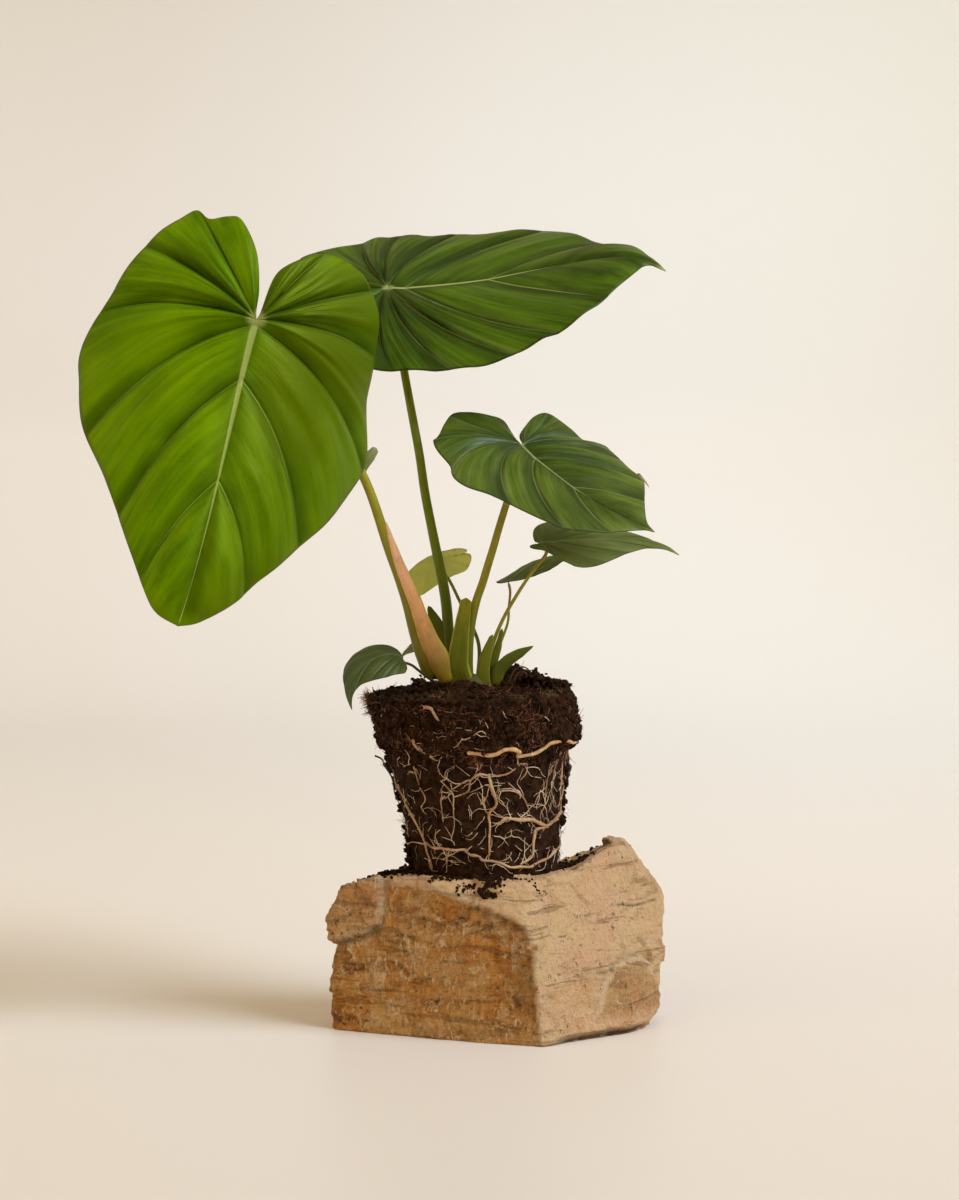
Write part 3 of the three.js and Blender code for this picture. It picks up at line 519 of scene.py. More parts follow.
@dataclass(frozen=True)
class StemFinish:
    """Colour of a stalk or sheath from its foot to its top, with streaks along it."""

    foot: Colour
    middle: Colour
    top: Colour
    streak: Colour
    edge: Colour
    roughness: float = 0.42
    streak_share: float = 0.4

    def build(self, name: str) -> bpy.types.Material:
        """The finish, which reads the tube's own place values."""
        sheet = NodeSheet(name, self.roughness)
        share = sheet.attribute("share")
        skin = sheet.attribute("skin", "Vector")
        lengthwise = sheet.add("ShaderNodeVectorMath", operation="MULTIPLY")
        sheet.feed(lengthwise.inputs[0], skin)
        lengthwise.inputs[1].default_value = (1.0, 1.0, 0.06)
        streaks = sheet.noise(lengthwise.outputs[0], 1.1, 4.0, 0.6)
        blotch = sheet.noise(skin, 0.16, 3.0)
        lower = sheet.tint(self.foot, self.middle, share, 0.0, 0.45)
        body = sheet.tint(lower, self.top, share, 0.4, 1.0)
        strength = sheet.times(sheet.ramp(streaks, 0.42, 0.7), self.streak_share)
        body = sheet.blend(strength, body, self.streak)
        body = sheet.tint(body, self.edge, sheet.attribute("rim"), 0.74, 1.0, 0.0, 0.85)
        body = sheet.tint(body, self.foot, blotch, 0.45, 0.7, 0.0, 0.3)
        speck = sheet.ramp(sheet.noise(skin, 2.4, 1.0), 0.7, 0.78, 0.0, 0.35)
        sheet.colour(sheet.blend(speck, body, self.streak))
        sheet.bump(streaks, 0.0004, 0.5)
        sheet.shader.inputs["Specular IOR Level"].default_value = 0.25
        return sheet.material


@dataclass(frozen=True)
class SoilFinish:
    """Moist fibrous potting soil, with a reddish loose part and moss."""

    dark: Colour = (0.012, 0.0045, 0.0015)
    brown: Colour = (0.054, 0.022, 0.008)
    red: Colour = (0.19, 0.066, 0.025)
    moss: Colour = (0.07, 0.042, 0.009)

    def build(self, name: str) -> bpy.types.Material:
        """The finish; meshes that carry 'loose' and 'moss' get those tints."""
        sheet = NodeSheet(name, 0.9)
        place = sheet.here()
        clumps = sheet.noise(place, 190.0, 6.0, 0.65)
        crumbs = sheet.noise(place, 800.0, 5.0, 0.7)
        fibres = sheet.noise(sheet.here((1.0, 1.0, 0.22), (0.5, 0.4, 0.2)), 1300.0, 2.0, 0.5, 1.4)
        across = sheet.noise(sheet.here((0.25, 1.0, 1.0), (0.3, 0.9, 0.1)), 1100.0, 2.0, 0.5, 1.4)
        body = sheet.tint(self.dark, self.brown, clumps, 0.35, 0.68)
        body = sheet.tint(body, self.brown, crumbs, 0.55, 0.8, 0.0, 0.6)
        loose = sheet.attribute("loose")
        threads = sheet.most(sheet.ramp(fibres, 0.62, 0.72), sheet.ramp(across, 0.63, 0.74))
        share = sheet.times(threads, sheet.plus(sheet.times(loose, 0.5), 0.22))
        body = sheet.blend(share, body, self.red)
        mossy = sheet.times(sheet.attribute("moss"), sheet.ramp(crumbs, 0.46, 0.56))
        body = sheet.blend(mossy, body, self.moss)
        sheet.colour(body)
        height = sheet.plus(sheet.times(clumps, 1.0), sheet.times(crumbs, 0.6))
        sheet.bump(sheet.plus(height, sheet.times(threads, 0.25)), 0.0022, 0.9)
        sheet.shader.inputs["Specular IOR Level"].default_value = 0.08
        return sheet.material


@dataclass(frozen=True)
class RootFinish:
    """Living roots: tan with cream and brown stretches."""

    pale: Colour = (0.56, 0.36, 0.2)
    tan: Colour = (0.36, 0.18, 0.08)
    brown: Colour = (0.13, 0.06, 0.025)

    def build(self, name: str) -> bpy.types.Material:
        """The finish, on object coordinates."""
        sheet = NodeSheet(name, 0.62)
        place = sheet.here()
        patches = sheet.noise(place, 95.0, 4.0, 0.6)
        spots = sheet.noise(place, 700.0, 3.0, 0.6)
        body = sheet.tint(self.tan, self.pale, patches, 0.38, 0.62)
        body = sheet.tint(body, self.brown, spots, 0.55, 0.72, 0.0, 0.6)
        body = sheet.tint(body, self.brown, sheet.noise(place, 55.0, 2.0), 0.56, 0.7, 0.0, 0.55)
        sheet.colour(body)
        sheet.bump(spots, 0.0005, 0.6)
        return sheet.material


@dataclass(frozen=True)
class FibreFinish:
    """Thin things in two close tones: fibres, twigs and moss."""

    dark: Colour
    light: Colour
    roughness: float = 0.8

    def build(self, name: str) -> bpy.types.Material:
        """The finish, which changes slowly from place to place."""
        sheet = NodeSheet(name, self.roughness)
        place = sheet.here()
        sheet.colour(sheet.tint(self.dark, self.light, sheet.noise(place, 160.0, 3.0), 0.35, 0.65))
        sheet.bump(sheet.noise(place, 1500.0, 3.0), 0.0003, 0.6)
        return sheet.material


@dataclass(frozen=True)
class StoneFinish:
    """Sandstone: an ochre face with streaks and specks, and pale fracture faces."""

    ochre: Colour = (0.78, 0.41, 0.13)
    amber: Colour = (0.76, 0.31, 0.055)
    umber: Colour = (0.28, 0.115, 0.034)
    straw: Colour = (0.92, 0.6, 0.28)
    pale: Colour = (0.98, 0.65, 0.34)
    rose: Colour = (0.98, 0.59, 0.33)
    cream: Colour = (0.98, 0.73, 0.44)
    dust: Colour = (0.62, 0.37, 0.18)
    speck: Colour = (0.045, 0.035, 0.03)

    def build(self, name: str) -> bpy.types.Material:
        """The finish; the mesh carries 'pale', 'crack', 'dusk' (painted shade by the ridge, and a brown
        patch) and 'hollow' (painted shade in recesses).
        """
        sheet = NodeSheet(name, 0.85)
        place = sheet.here()
        cloud = sheet.noise(place, 30.0, 6.0, 0.62, 0.6)
        bands = sheet.noise(sheet.here((0.6, 0.6, 1.5), (0.05, 0.08, 0.0)), 48.0, 8.0, 0.7, 1.6)
        streaks = sheet.noise(sheet.here((1.9, 1.9, 0.9)), 105.0, 6.0, 0.68, 1.4)
        grit = sheet.noise(place, 480.0, 5.0, 0.75)
        fine = sheet.noise(place, 1500.0, 3.0, 0.7)

        ochre = sheet.tint(self.ochre, self.amber, cloud, 0.4, 0.62)
        ochre = sheet.tint(ochre, self.umber, bands, 0.48, 0.66, 0.0, 0.85)
        ochre = sheet.tint(ochre, self.straw, streaks, 0.5, 0.63, 0.0, 0.85)
        ochre = sheet.tint(ochre, self.straw, bands, 0.28, 0.44, 0.6, 0.0)
        ochre = sheet.tint(ochre, self.umber, grit, 0.5, 0.64, 0.0, 0.6)
        ochre = sheet.tint(ochre, self.cream, streaks, 0.6, 0.66, 0.0, 0.8)
        # Painted shade along the inner side of the ridge, and a real brown patch inside the bowed crack
        ochre = sheet.blend(sheet.attribute("ridge_shade_and_umber"), ochre, (0.1, 0.05, 0.022))

        worn = sheet.noise(sheet.here((1.0, 1.0, 1.2), (0.1, 0.2, 0.0)), 21.0, 6.0, 0.7, 0.8)
        seams = sheet.noise(sheet.here((0.35, 0.35, 2.6), (0.04, 0.0, 0.1)), 62.0, 7.0, 0.72, 0.9)
        light = sheet.tint(self.pale, self.rose, cloud, 0.4, 0.6)
        light = sheet.tint(light, self.dust, worn, 0.54, 0.65, 0.0, 0.5)
        light = sheet.tint(light, self.ochre, bands, 0.5, 0.66, 0.0, 0.5)
        light = sheet.tint(light, self.cream, streaks, 0.52, 0.68, 0.0, 0.6)
        light = sheet.tint(light, self.dust, grit, 0.5, 0.7, 0.0, 0.45)

        body = sheet.blend(sheet.attribute("pale"), ochre, light)
        body = sheet.tint(body, self.umber, seams, 0.6, 0.66, 0.0, 0.4)
        body = sheet.tint(body, self.straw, seams, 0.32, 0.38, 0.4, 0.0)
        body = sheet.blend(sheet.attribute("crack"), body, self.cream)
        # Painted shade in pits, in the slit, below the ledge and under the undercut foot
        body = sheet.blend(sheet.attribute("recess_shade"), body, (0.09, 0.045, 0.02))
        powder = sheet.ramp(sheet.noise(place, 75.0, 4.0, 0.6), 0.54, 0.66)
        flour = sheet.times(powder, sheet.ramp(fine, 0.45, 0.6))
        body = sheet.blend(sheet.times(flour, 0.6), body, self.cream)
        clusters = sheet.ramp(sheet.noise(place, 58.0, 3.0), 0.5, 0.6)
        dots = sheet.ramp(sheet.noise(place, 340.0, 3.0, 0.7), 0.57, 0.63)
        body = sheet.blend(sheet.times(sheet.times(clusters, dots), 0.62), body, self.speck)
        flecks = sheet.ramp(sheet.noise(place, 850.0, 2.0), 0.65, 0.7, 0.0, 0.45)
        sheet.colour(sheet.blend(flecks, body, self.speck))

        height = sheet.plus(sheet.times(bands, 1.2), sheet.times(streaks, 0.8))
        height = sheet.plus(height, sheet.times(grit, 1.2))
        height = sheet.plus(height, sheet.times(fine, 0.5))
        height = sheet.minus(height, sheet.ramp(seams, 0.57, 0.63, 0.0, 0.7))
        sheet.bump(height, 0.0026, 1.0)
        sheet.shader.inputs["Specular IOR Level"].default_value = 0.15
        return sheet.material


@dataclass(frozen=True)
class StudioFinish:
    """Warm paper for floor, bend and wall, with painted light: cooler and brighter to the right, and darker
    on the bend.
    """

    floor: tuple[Colour, Colour] = ((0.8, 0.71, 0.61), (0.92, 0.85, 0.79))
    bend: tuple[Colour, Colour] = ((0.61, 0.54, 0.465), (0.815, 0.82, 0.815))
    wall: tuple[Colour, Colour] = ((0.67, 0.605, 0.53), (0.89, 0.94, 0.98))

    def build(self, name: str) -> bpy.types.Material:
        """The finish, which changes softly where the floor bends up."""
        sheet = NodeSheet(name, 0.45)
        split = sheet.add("ShaderNodeSeparateXYZ")
        sheet.feed(split.inputs[0], sheet.here())
        # Painted light and shade: the paper is graded brighter and cooler to the right, and the bend gets a
        # darker colour, against how the lamps light the sweep
        near, far = sheet.ramp(split.outputs[0], -0.4, 0.4), sheet.ramp(split.outputs[0], -0.9, 0.9)
        floor = sheet.blend(near, *self.floor)
        bend, wall = (sheet.blend(far, *pair) for pair in (self.bend, self.wall))
        up = sheet.ramp(split.outputs[2], 0.0, 0.5)
        away = sheet.most(up, sheet.ramp(split.outputs[1], 0.0, 2.0, 0.0, 0.85))
        paper = sheet.blend(away, floor, bend)
        paper = sheet.tint(paper, wall, split.outputs[2], 0.3, 1.1)
        sheet.colour(paper)
        sheet.shader.inputs["Specular IOR Level"].default_value = 0.2
        return sheet.material


# Leaves


@dataclass(frozen=True)
class LeafForm:
    """Shape of one leaf. Points run from the cleft to the tip as (along, across)."""

    name: str
    midrib: tuple[Point, Point, Point, Point]
    face_base: Point
    face_tip: Point
    rise: Pair
    droop: Pair
    lobe_curl: float
    half_width: float
    left: tuple[Pair, ...]
    right: tuple[Pair, ...]
    ribs_left: tuple[float, ...]
    ribs_right: tuple[float, ...]
    quilting: float
    finish: LeafFinish
    slot: str
    stalk: tuple[Point, ...]
    under_run: float
    stalk_radii: tuple[float, ...]
    stalk_finish: StemFinish
    stalk_slot: str
    columns: int = 22
    half_rows: int = 30
    ripple: float = 0.1


class LeafSurface:
    """The smooth surface of a blade and the veins on it."""

    CLEFT_SHARE = 0.1
    KNEE = 0.5
    START_POWER = 2.2
    BOW = 0.13

    def __init__(self, form: LeafForm) -> None:
        """Measures the midrib and both margins."""
        self.form = form
        self.control = np.array(form.midrib, float)
        chain = self._midrib(np.linspace(0, 1, 201))
        self.length = float(np.linalg.norm(np.diff(chain, axis=0), axis=1).sum())
        self.margins = [
            MarginCurve([(0, 0), *half, (self.length, 0)]) for half in (form.left, form.right)
        ]
        self.ribs = [np.array(form.ribs_left), np.array(form.ribs_right)]

    def _midrib(self, share: np.ndarray) -> np.ndarray:
        """Points of the midrib."""
        t = np.asarray(share)[..., None]
        a, b, c, d = self.control
        return (1 - t) ** 3 * a + 3 * (1 - t) ** 2 * t * b + 3 * (1 - t) * t * t * c + t**3 * d

    def _heading(self, share: np.ndarray) -> np.ndarray:
        """Directions of the midrib towards the tip."""
        t = np.asarray(share)[..., None]
        a, b, c, d = self.control
        return unit((1 - t) ** 2 * (b - a) + 2 * (1 - t) * t * (c - b) + t * t * (d - c))

    def smooth_point(self, distance: np.ndarray, across: np.ndarray) -> np.ndarray:
        """Points of the blade without its quilting; across is negative on the left half."""
        form = self.form
        share = np.clip(distance / self.length, 0, 1)
        heading = self._heading(share)
        t = share[..., None]
        face = np.array(form.face_base) * (1 - t) + np.array(form.face_tip) * t
        face = unit(face - (face * heading).sum(-1, keepdims=True) * heading)
        behind = np.minimum(distance, 0)[..., None]
        point = self._midrib(share) + heading * behind
        point = point - face * form.lobe_curl * behind**2 / self.length
        half = np.where(across < 0, 0, 1)
        rise = np.radians(np.array(form.rise, float))[half]
        bend = np.radians(np.array(form.droop, float))[half] / form.half_width
        end = rise - bend * np.abs(across)
        out = (np.sin(rise) - np.sin(end)) / bend
        up = (np.cos(end) - np.cos(rise)) / bend
        side = np.cross(heading, face)
        return point + side * (np.sign(across) * out)[..., None] + face * up[..., None]

    def normal(self, distance: np.ndarray, across: np.ndarray) -> np.ndarray:
        """Directions out of the upper skin."""
        step = 0.5
        ahead = self.smooth_point(distance + step, across) - self.smooth_point(distance - step, across)
        aside = self.smooth_point(distance, across + step) - self.smooth_point(distance, across - step)
        return unit(np.cross(aside, ahead))

    def _start(self, u: np.ndarray) -> np.ndarray:
        """Where on the midrib the vein to margin share u leaves it."""
        return self.length * np.clip((u - self.KNEE) / (1 - self.KNEE), 0, 1) ** self.START_POWER

    def vein_place(self, column: np.ndarray, v: np.ndarray) -> tuple[np.ndarray, np.ndarray]:
        """Places on the flat leaf along the side veins.

        Args:
            column: number of the vein, counted from the cleft; halves lie between two veins.
            v: from -1 at the left margin through 0 at the midrib to 1 at the right margin.

        Returns:
            Distances along the midrib, and distances across it.
        """
        counts = np.arange(len(self.ribs[0]))
        shares = [np.interp(column, counts, ribs) for ribs in self.ribs]
        shared_start = (self._start(shares[0]) + self._start(shares[1])) / 2
        reach = np.abs(v)
        result = np.zeros((len(column), 2))
        for half, sign in ((0, -1), (1, 1)):
            mask = v < 0 if half == 0 else v >= 0
            u, r = shares[half][mask], reach[mask][:, None]
            margin = self.margins[half]
            end = margin.at_length(self.CLEFT_SHARE + (1 - self.CLEFT_SHARE) * u)
            start = np.stack([shared_start[mask], np.zeros_like(u)], -1)
            chord = end - start
            bow = self.BOW * smooth_step(u, 0.1, 0.4)[:, None]
            middle = (start + end) / 2 + np.stack([-chord[:, 1], chord[:, 0]], -1) * bow
            place = (1 - r) ** 2 * start + 2 * (1 - r) * r * middle + r * r * end
            cleft = margin.at_length(self.CLEFT_SHARE * reach[mask])
            straight = margin.at_length(np.full(mask.sum(), self.CLEFT_SHARE)) * r
            place += (cleft - straight) * (1 - smooth_step(u, 0, 0.12))[:, None]
            result[mask, 0] = place[:, 0]
            result[mask, 1] = sign * np.maximum(place[:, 1], 0)
        return result[:, 0], result[:, 1]

    def relief(self, column: np.ndarray, v: np.ndarray) -> np.ndarray:
        """Height of the quilting: the blade swells between its sunken veins."""
        form = self.form
        reach = np.abs(v)
        last = len(self.ribs[0]) - 1
        phase = column - np.floor(column)
        swell = 2.05 * phase**0.6 * (1 - phase) ** 0.95
        pleats = 0.07 * np.sin(2 * np.pi * (2.5 * column + 0.3 * np.sin(3 * reach + column) + 0.1))
        pleats += 0.035 * np.sin(2 * np.pi * (4.6 * column + 0.25 * np.sin(5 * reach + 2 * column) + 0.4))
        pleats *= smooth_step(reach, 0.1, 0.45)
        profile = np.clip(np.sin(np.pi * reach**0.8), 0, 1) ** 0.7 + 0.12 * reach
        ends = smooth_step(column, 0, 0.4) * (0.55 + 0.45 * smooth_step(column, 0.8, 2.5))
        ends *= 1 - smooth_step(column, last - 0.4, last)
        height = form.quilting * (swell + pleats) * profile * ends
        ripple = form.ripple * np.sin(2 * np.pi * column * 1.3 + 1.0) * reach**5
        return height + ripple * ends


class Leaf:
    """One leaf: its blade and its stalk."""

    THICKNESS = 0.55
    JUNCTION_SETBACK = 3.0

    def __init__(self, form: LeafForm) -> None:
        """Keeps the form and its surface."""
        self.form = form
        self.surface = LeafSurface(form)

    def build(self) -> None:
        """Makes both pieces."""
        self.build_blade()
        self.build_stalk()

    def build_blade(self) -> bpy.types.Object:
        """The blade: a grid laid along the side veins, thickened by a modifier."""
        form, surface = self.form, self.surface
        intervals = len(form.ribs_left) - 1
        bm, share = unit_grid(intervals * form.columns, 2 * form.half_rows)
        column = share[:, 0] * intervals
        v = 2 * share[:, 1] - 1
        v = np.where(np.abs(v) < 1e-6, 0.0, v)
        distance, across = surface.vein_place(column, v)
        height = surface.relief(column, v)
        normal = surface.normal(distance, across)
        set_places(bm, surface.smooth_point(distance, across) + normal * height[:, None])
        ahead = surface.vein_place(np.minimum(column + 0.05, intervals), v)
        behind = surface.vein_place(np.maximum(column - 0.05, 0), v)
        spacing = np.hypot(ahead[0] - behind[0], ahead[1] - behind[1]) / 0.1
        set_layer(bm, "spacing", spacing)
        set_layer(bm, "across", across)
        set_layer(bm, "along", distance / surface.length)
        set_layer(bm, "heart", np.hypot(distance, across))
        veins = bm.loops.layers.uv.new("veins")
        for face in bm.faces:
            for loop in face.loops:
                i = loop.vert.index
                loop[veins].uv = (column[i], v[i])
        bm.normal_update()
        facing = sum(f.normal.dot(Vector(normal[f.verts[0].index])) for f in bm.faces)
        if facing < 0:
            bmesh.ops.reverse_faces(bm, faces=bm.faces)
        bmesh.ops.remove_doubles(bm, verts=bm.verts, dist=0.02)
        finishes = [form.finish.build(f"{form.name}_{skin.value}", skin, intervals) for skin in Skin]
        blade = hand_over(form.name, bm, finishes, [f"{form.name}_blade"])
        shell = blade.modifiers.new("thickness", "SOLIDIFY")
        shell.thickness = self.THICKNESS * MM
        shell.offset = 0
        shell.material_offset = 1
        shell.material_offset_rim = 0
        return blade

    def build_stalk(self) -> bpy.types.Object:
        """The stalk: from the stem up to the underside of the blade."""
        form, surface = self.form, self.surface
        setback = np.array([max(self.JUNCTION_SETBACK, form.stalk_radii[-1] + 1)])
        zero = np.zeros(1)
        meet, face = surface.smooth_point(setback, zero)[0], surface.normal(setback, zero)[0]
        under, end = meet - face * form.under_run, meet - face * 0.15
        radii = [*form.stalk_radii, form.stalk_radii[-1], form.stalk_radii[-1] * 1.1]
        tube = Tube(tuple(form.stalk) + (tuple(under), tuple(end)), tuple(radii))
        name = f"{form.name}_petiole"
        return tube.build(name, form.stalk_finish, form.stalk_slot, [f"{form.name}_stalk"])


@dataclass(frozen=True)
class Tube:
    """A tube along a smooth route, round or flattened, with closed ends.

    broad is the direction that the wide side of a flat section keeps to, thin is its depth as a
    share of the width, and groove is the depth of a furrow along its front, as a share.
    """

    path: tuple[Point, ...]
    radii: tuple[float, ...]
    thin: float = 1.0
    broad: Point | None = None
    groove: float = 0.0
    sides: int = 20
    step: float = 2.0
    wobble: float = 0.03
    # Stretch over which an end is rounded off, and the side that a round tube counts its turns from
    END_ROUNDING = 1.2
    GUIDE = (0.92, 0.38, 0.1)

    def build(self, name: str, finish: StemFinish, slot: str, stands_for: Sequence[str]) -> bpy.types.Object:
        """The tube as an object.

        Args:
            name: the object's name.
            finish: its colours.
            slot: the record's material slot.
            stands_for: solids that it replaces.

        Returns:
            The object.
        """
        route = Route(self.path)
        rings = max(8, round(route.length / self.step))
        bm, place = unit_grid(rings, self.sides)
        share, turn = place[:, 0], place[:, 1] * 2 * math.pi
        centre, heading = route.at(share), route.tangent(share)
        guide = np.array(self.broad or self.GUIDE)
        wide = unit(guide - (heading @ guide)[:, None] * heading)
        deep = np.cross(heading, wide)
        from_end = np.minimum(share, 1 - share) * route.length
        rounded = np.sqrt(np.clip(1 - (1 - from_end / self.END_ROUNDING).clip(0, 1) ** 2, 0.02, 1))
        radius = spread(self.radii, share) * rounded
        bumps = 1 + self.wobble * np.sin(3 * turn + share * 17) * np.sin(share * 23 + 1)
        furrow = 1 - self.groove * np.exp(-(((turn / math.pi - 1.5 + 1) % 2 - 1) / 0.22) ** 2)
        out = np.cos(turn) * radius * bumps
        depth = np.sin(turn) * radius * self.thin * bumps * furrow
        set_places(bm, centre + wide * out[:, None] + deep * depth[:, None])
        set_layer(bm, "share", share)
        round_place = np.stack([np.cos(turn) * radius, np.sin(turn) * radius, share * route.length], -1)
        set_layer(bm, "skin", round_place)
        set_layer(bm, "rim", np.abs(np.cos(turn)))
        bmesh.ops.remove_doubles(bm, verts=bm.verts, dist=1e-4)
        bmesh.ops.holes_fill(bm, edges=[e for e in bm.edges if e.is_boundary], sides=0)
        bmesh.ops.recalc_face_normals(bm, faces=bm.faces)
        return hand_over(name, bm, [finish.build(f"{name}_skin")], stands_for)


# Root ball and roots


@dataclass
class BallShape:
    """The pot-shaped ball: rows of height, middle X and radius, and the heaps on its top."""

    foot: float = 88.55
    rim: float = 186.0
    soil_level: float = 188.6
    rows: tuple[Point, ...] = (
        (88.55, 0.2, 40.2), (94, 0.1, 41.2), (104, -0.2, 42), (116, -1.2, 43.6), (128, -2.2, 45.4),
        (140, -3.4, 47.2), (150, -4.4, 49), (157, -4.8, 51), (163, -4.5, 55.2), (171, -4.5, 57.4),
        (180, -6.6, 57.8), (186, -7.6, 56.6),
    )
    mounds: tuple[tuple[float, float, float, float], ...] = (
        (18, 3, 14, 11), (-10, -17, 5.5, 13), (36, -14, 4, 9), (42, -6, 4, 13), (-42, -4, 3, 9),
        (8, 34, 3, 16), (-30, 28, 2.5, 12),
    )

    def side(self, angle: np.ndarray, height: np.ndarray, lift: float | np.ndarray = 0.0) -> np.ndarray:
        """Points on the side.

        Args:
            angle: radians from the viewer's side towards the right.
            height: millimetres above the floor.
            lift: how far the points stand off the side.

        Returns:
            Rows of X, Y, Z.
        """
        angle, height = np.asarray(angle, float), np.asarray(height, float)
        table = np.array(self.rows)
        middle = np.interp(height, table[:, 0], table[:, 1])
        radius = np.interp(height, table[:, 0], table[:, 2])
        loose = smooth_step(height, 152, 166)
        pressed = 0.5 * np.sin(5 * angle + height / 11) + 0.3 * np.sin(9 * angle - height / 6)
        lumps = 1.1 * np.sin(6 * angle + 1 + height / 9) + 0.8 * np.sin(11 * angle - height / 4)
        reach = radius + pressed * (1 - loose) + lumps * loose + lift
        return np.stack([middle + reach * np.sin(angle), -reach * np.cos(angle), height], -1)

    def top(self, x: np.ndarray, y: np.ndarray) -> np.ndarray:
        """Height of the soil at places on the top."""
        heaps = sum(h * np.exp(-((x - mx) ** 2 + (y - my) ** 2) / r**2) for mx, my, h, r in self.mounds)
        waves = 0.7 * np.sin(x / 5 + 1) * np.cos(y / 6)
        return self.soil_level + heaps + waves - 0.035 * np.maximum(0, -x - 20)


@dataclass
class Strand:
    """One root or fibre: its points and its radius at each of them."""

    points: np.ndarray
    radii: np.ndarray


def strands_piece(
    name: str,
    strands: Iterable[Strand],
    finish: bpy.types.Material,
    sides: int,
    stands_for: Sequence[str] = (),
) -> bpy.types.Object:
    """Round strands as one object.

    Args:
        name: the object's name.
        strands: the strands, in millimetres.
        finish: their material.
        sides: bevel resolution of the curve that carries them.
        stands_for: solids that the piece replaces.

    Returns:
        The object.
    """
    curve = bpy.data.curves.new(name, "CURVE")
    curve.dimensions = "3D"
    curve.bevel_depth = 1.0
    curve.bevel_resolution = sides
    curve.use_fill_caps = True
    for strand in strands:
        line = curve.splines.new("POLY")
        line.points.add(len(strand.points) - 1)
        for point, place, radius in zip(line.points, strand.points, strand.radii):
            point.co = (*place, 1.0)
            point.radius = float(radius)
    carrier = bpy.data.objects.new(name + "_curve", curve)
    bpy.context.scene.collection.objects.link(carrier)
    bm = evaluated_copy(carrier)
    bmesh.ops.remove_doubles(bm, verts=bm.verts, dist=1e-4)
    return hand_over(name, bm, [finish], stands_for)


class SoilGrains:
    """Loose crumbs of soil gathered into one mesh."""

    BATCH = 60

    def __init__(self, seed: int) -> None:
        """Starts with no crumbs."""
        self.random = np.random.default_rng(seed)
        self.whole = bmesh.new()
        self.batch = bmesh.new()
        self.waiting = 0

    def drop(self, place: Sequence[float], size: float) -> None:
        """Adds one crumb at a place, turned and squeezed at random."""
        angle, axis = self.random.uniform(0, 6.28), Vector(self.random.normal(size=3)).normalized()
        turn = Matrix.Rotation(angle, 4, axis)
        squeeze = Matrix.Diagonal((*self.random.uniform(0.6, 1.3, 3), 1.0))
        centre = Vector(place)
        matrix = Matrix.Translation(centre) @ turn @ squeeze
        made = bmesh.ops.create_icosphere(self.batch, subdivisions=1, radius=size, matrix=matrix)
        for vert in made["verts"]:
            vert.co += (vert.co - centre) * float(self.random.uniform(-0.3, 0.3))
        self.waiting += 1
        if self.waiting >= self.BATCH:
            self._gather()

    def _gather(self) -> None:
        """Moves the waiting crumbs into the whole, so that the working mesh stays small."""
        mesh = bpy.data.meshes.new("batch")
        self.batch.to_mesh(mesh)
        self.whole.from_mesh(mesh)
        bpy.data.meshes.remove(mesh)
        self.batch.free()
        self.batch = bmesh.new()
        self.waiting = 0

    def finish(
        self, name: str, material: bpy.types.Material, stands_for: Sequence[str] = ()
    ) -> bpy.types.Object:
        """Hands the crumbs over as one object."""
        self._gather()
        self.batch.free()
        return hand_over(name, self.whole, [material], stands_for)


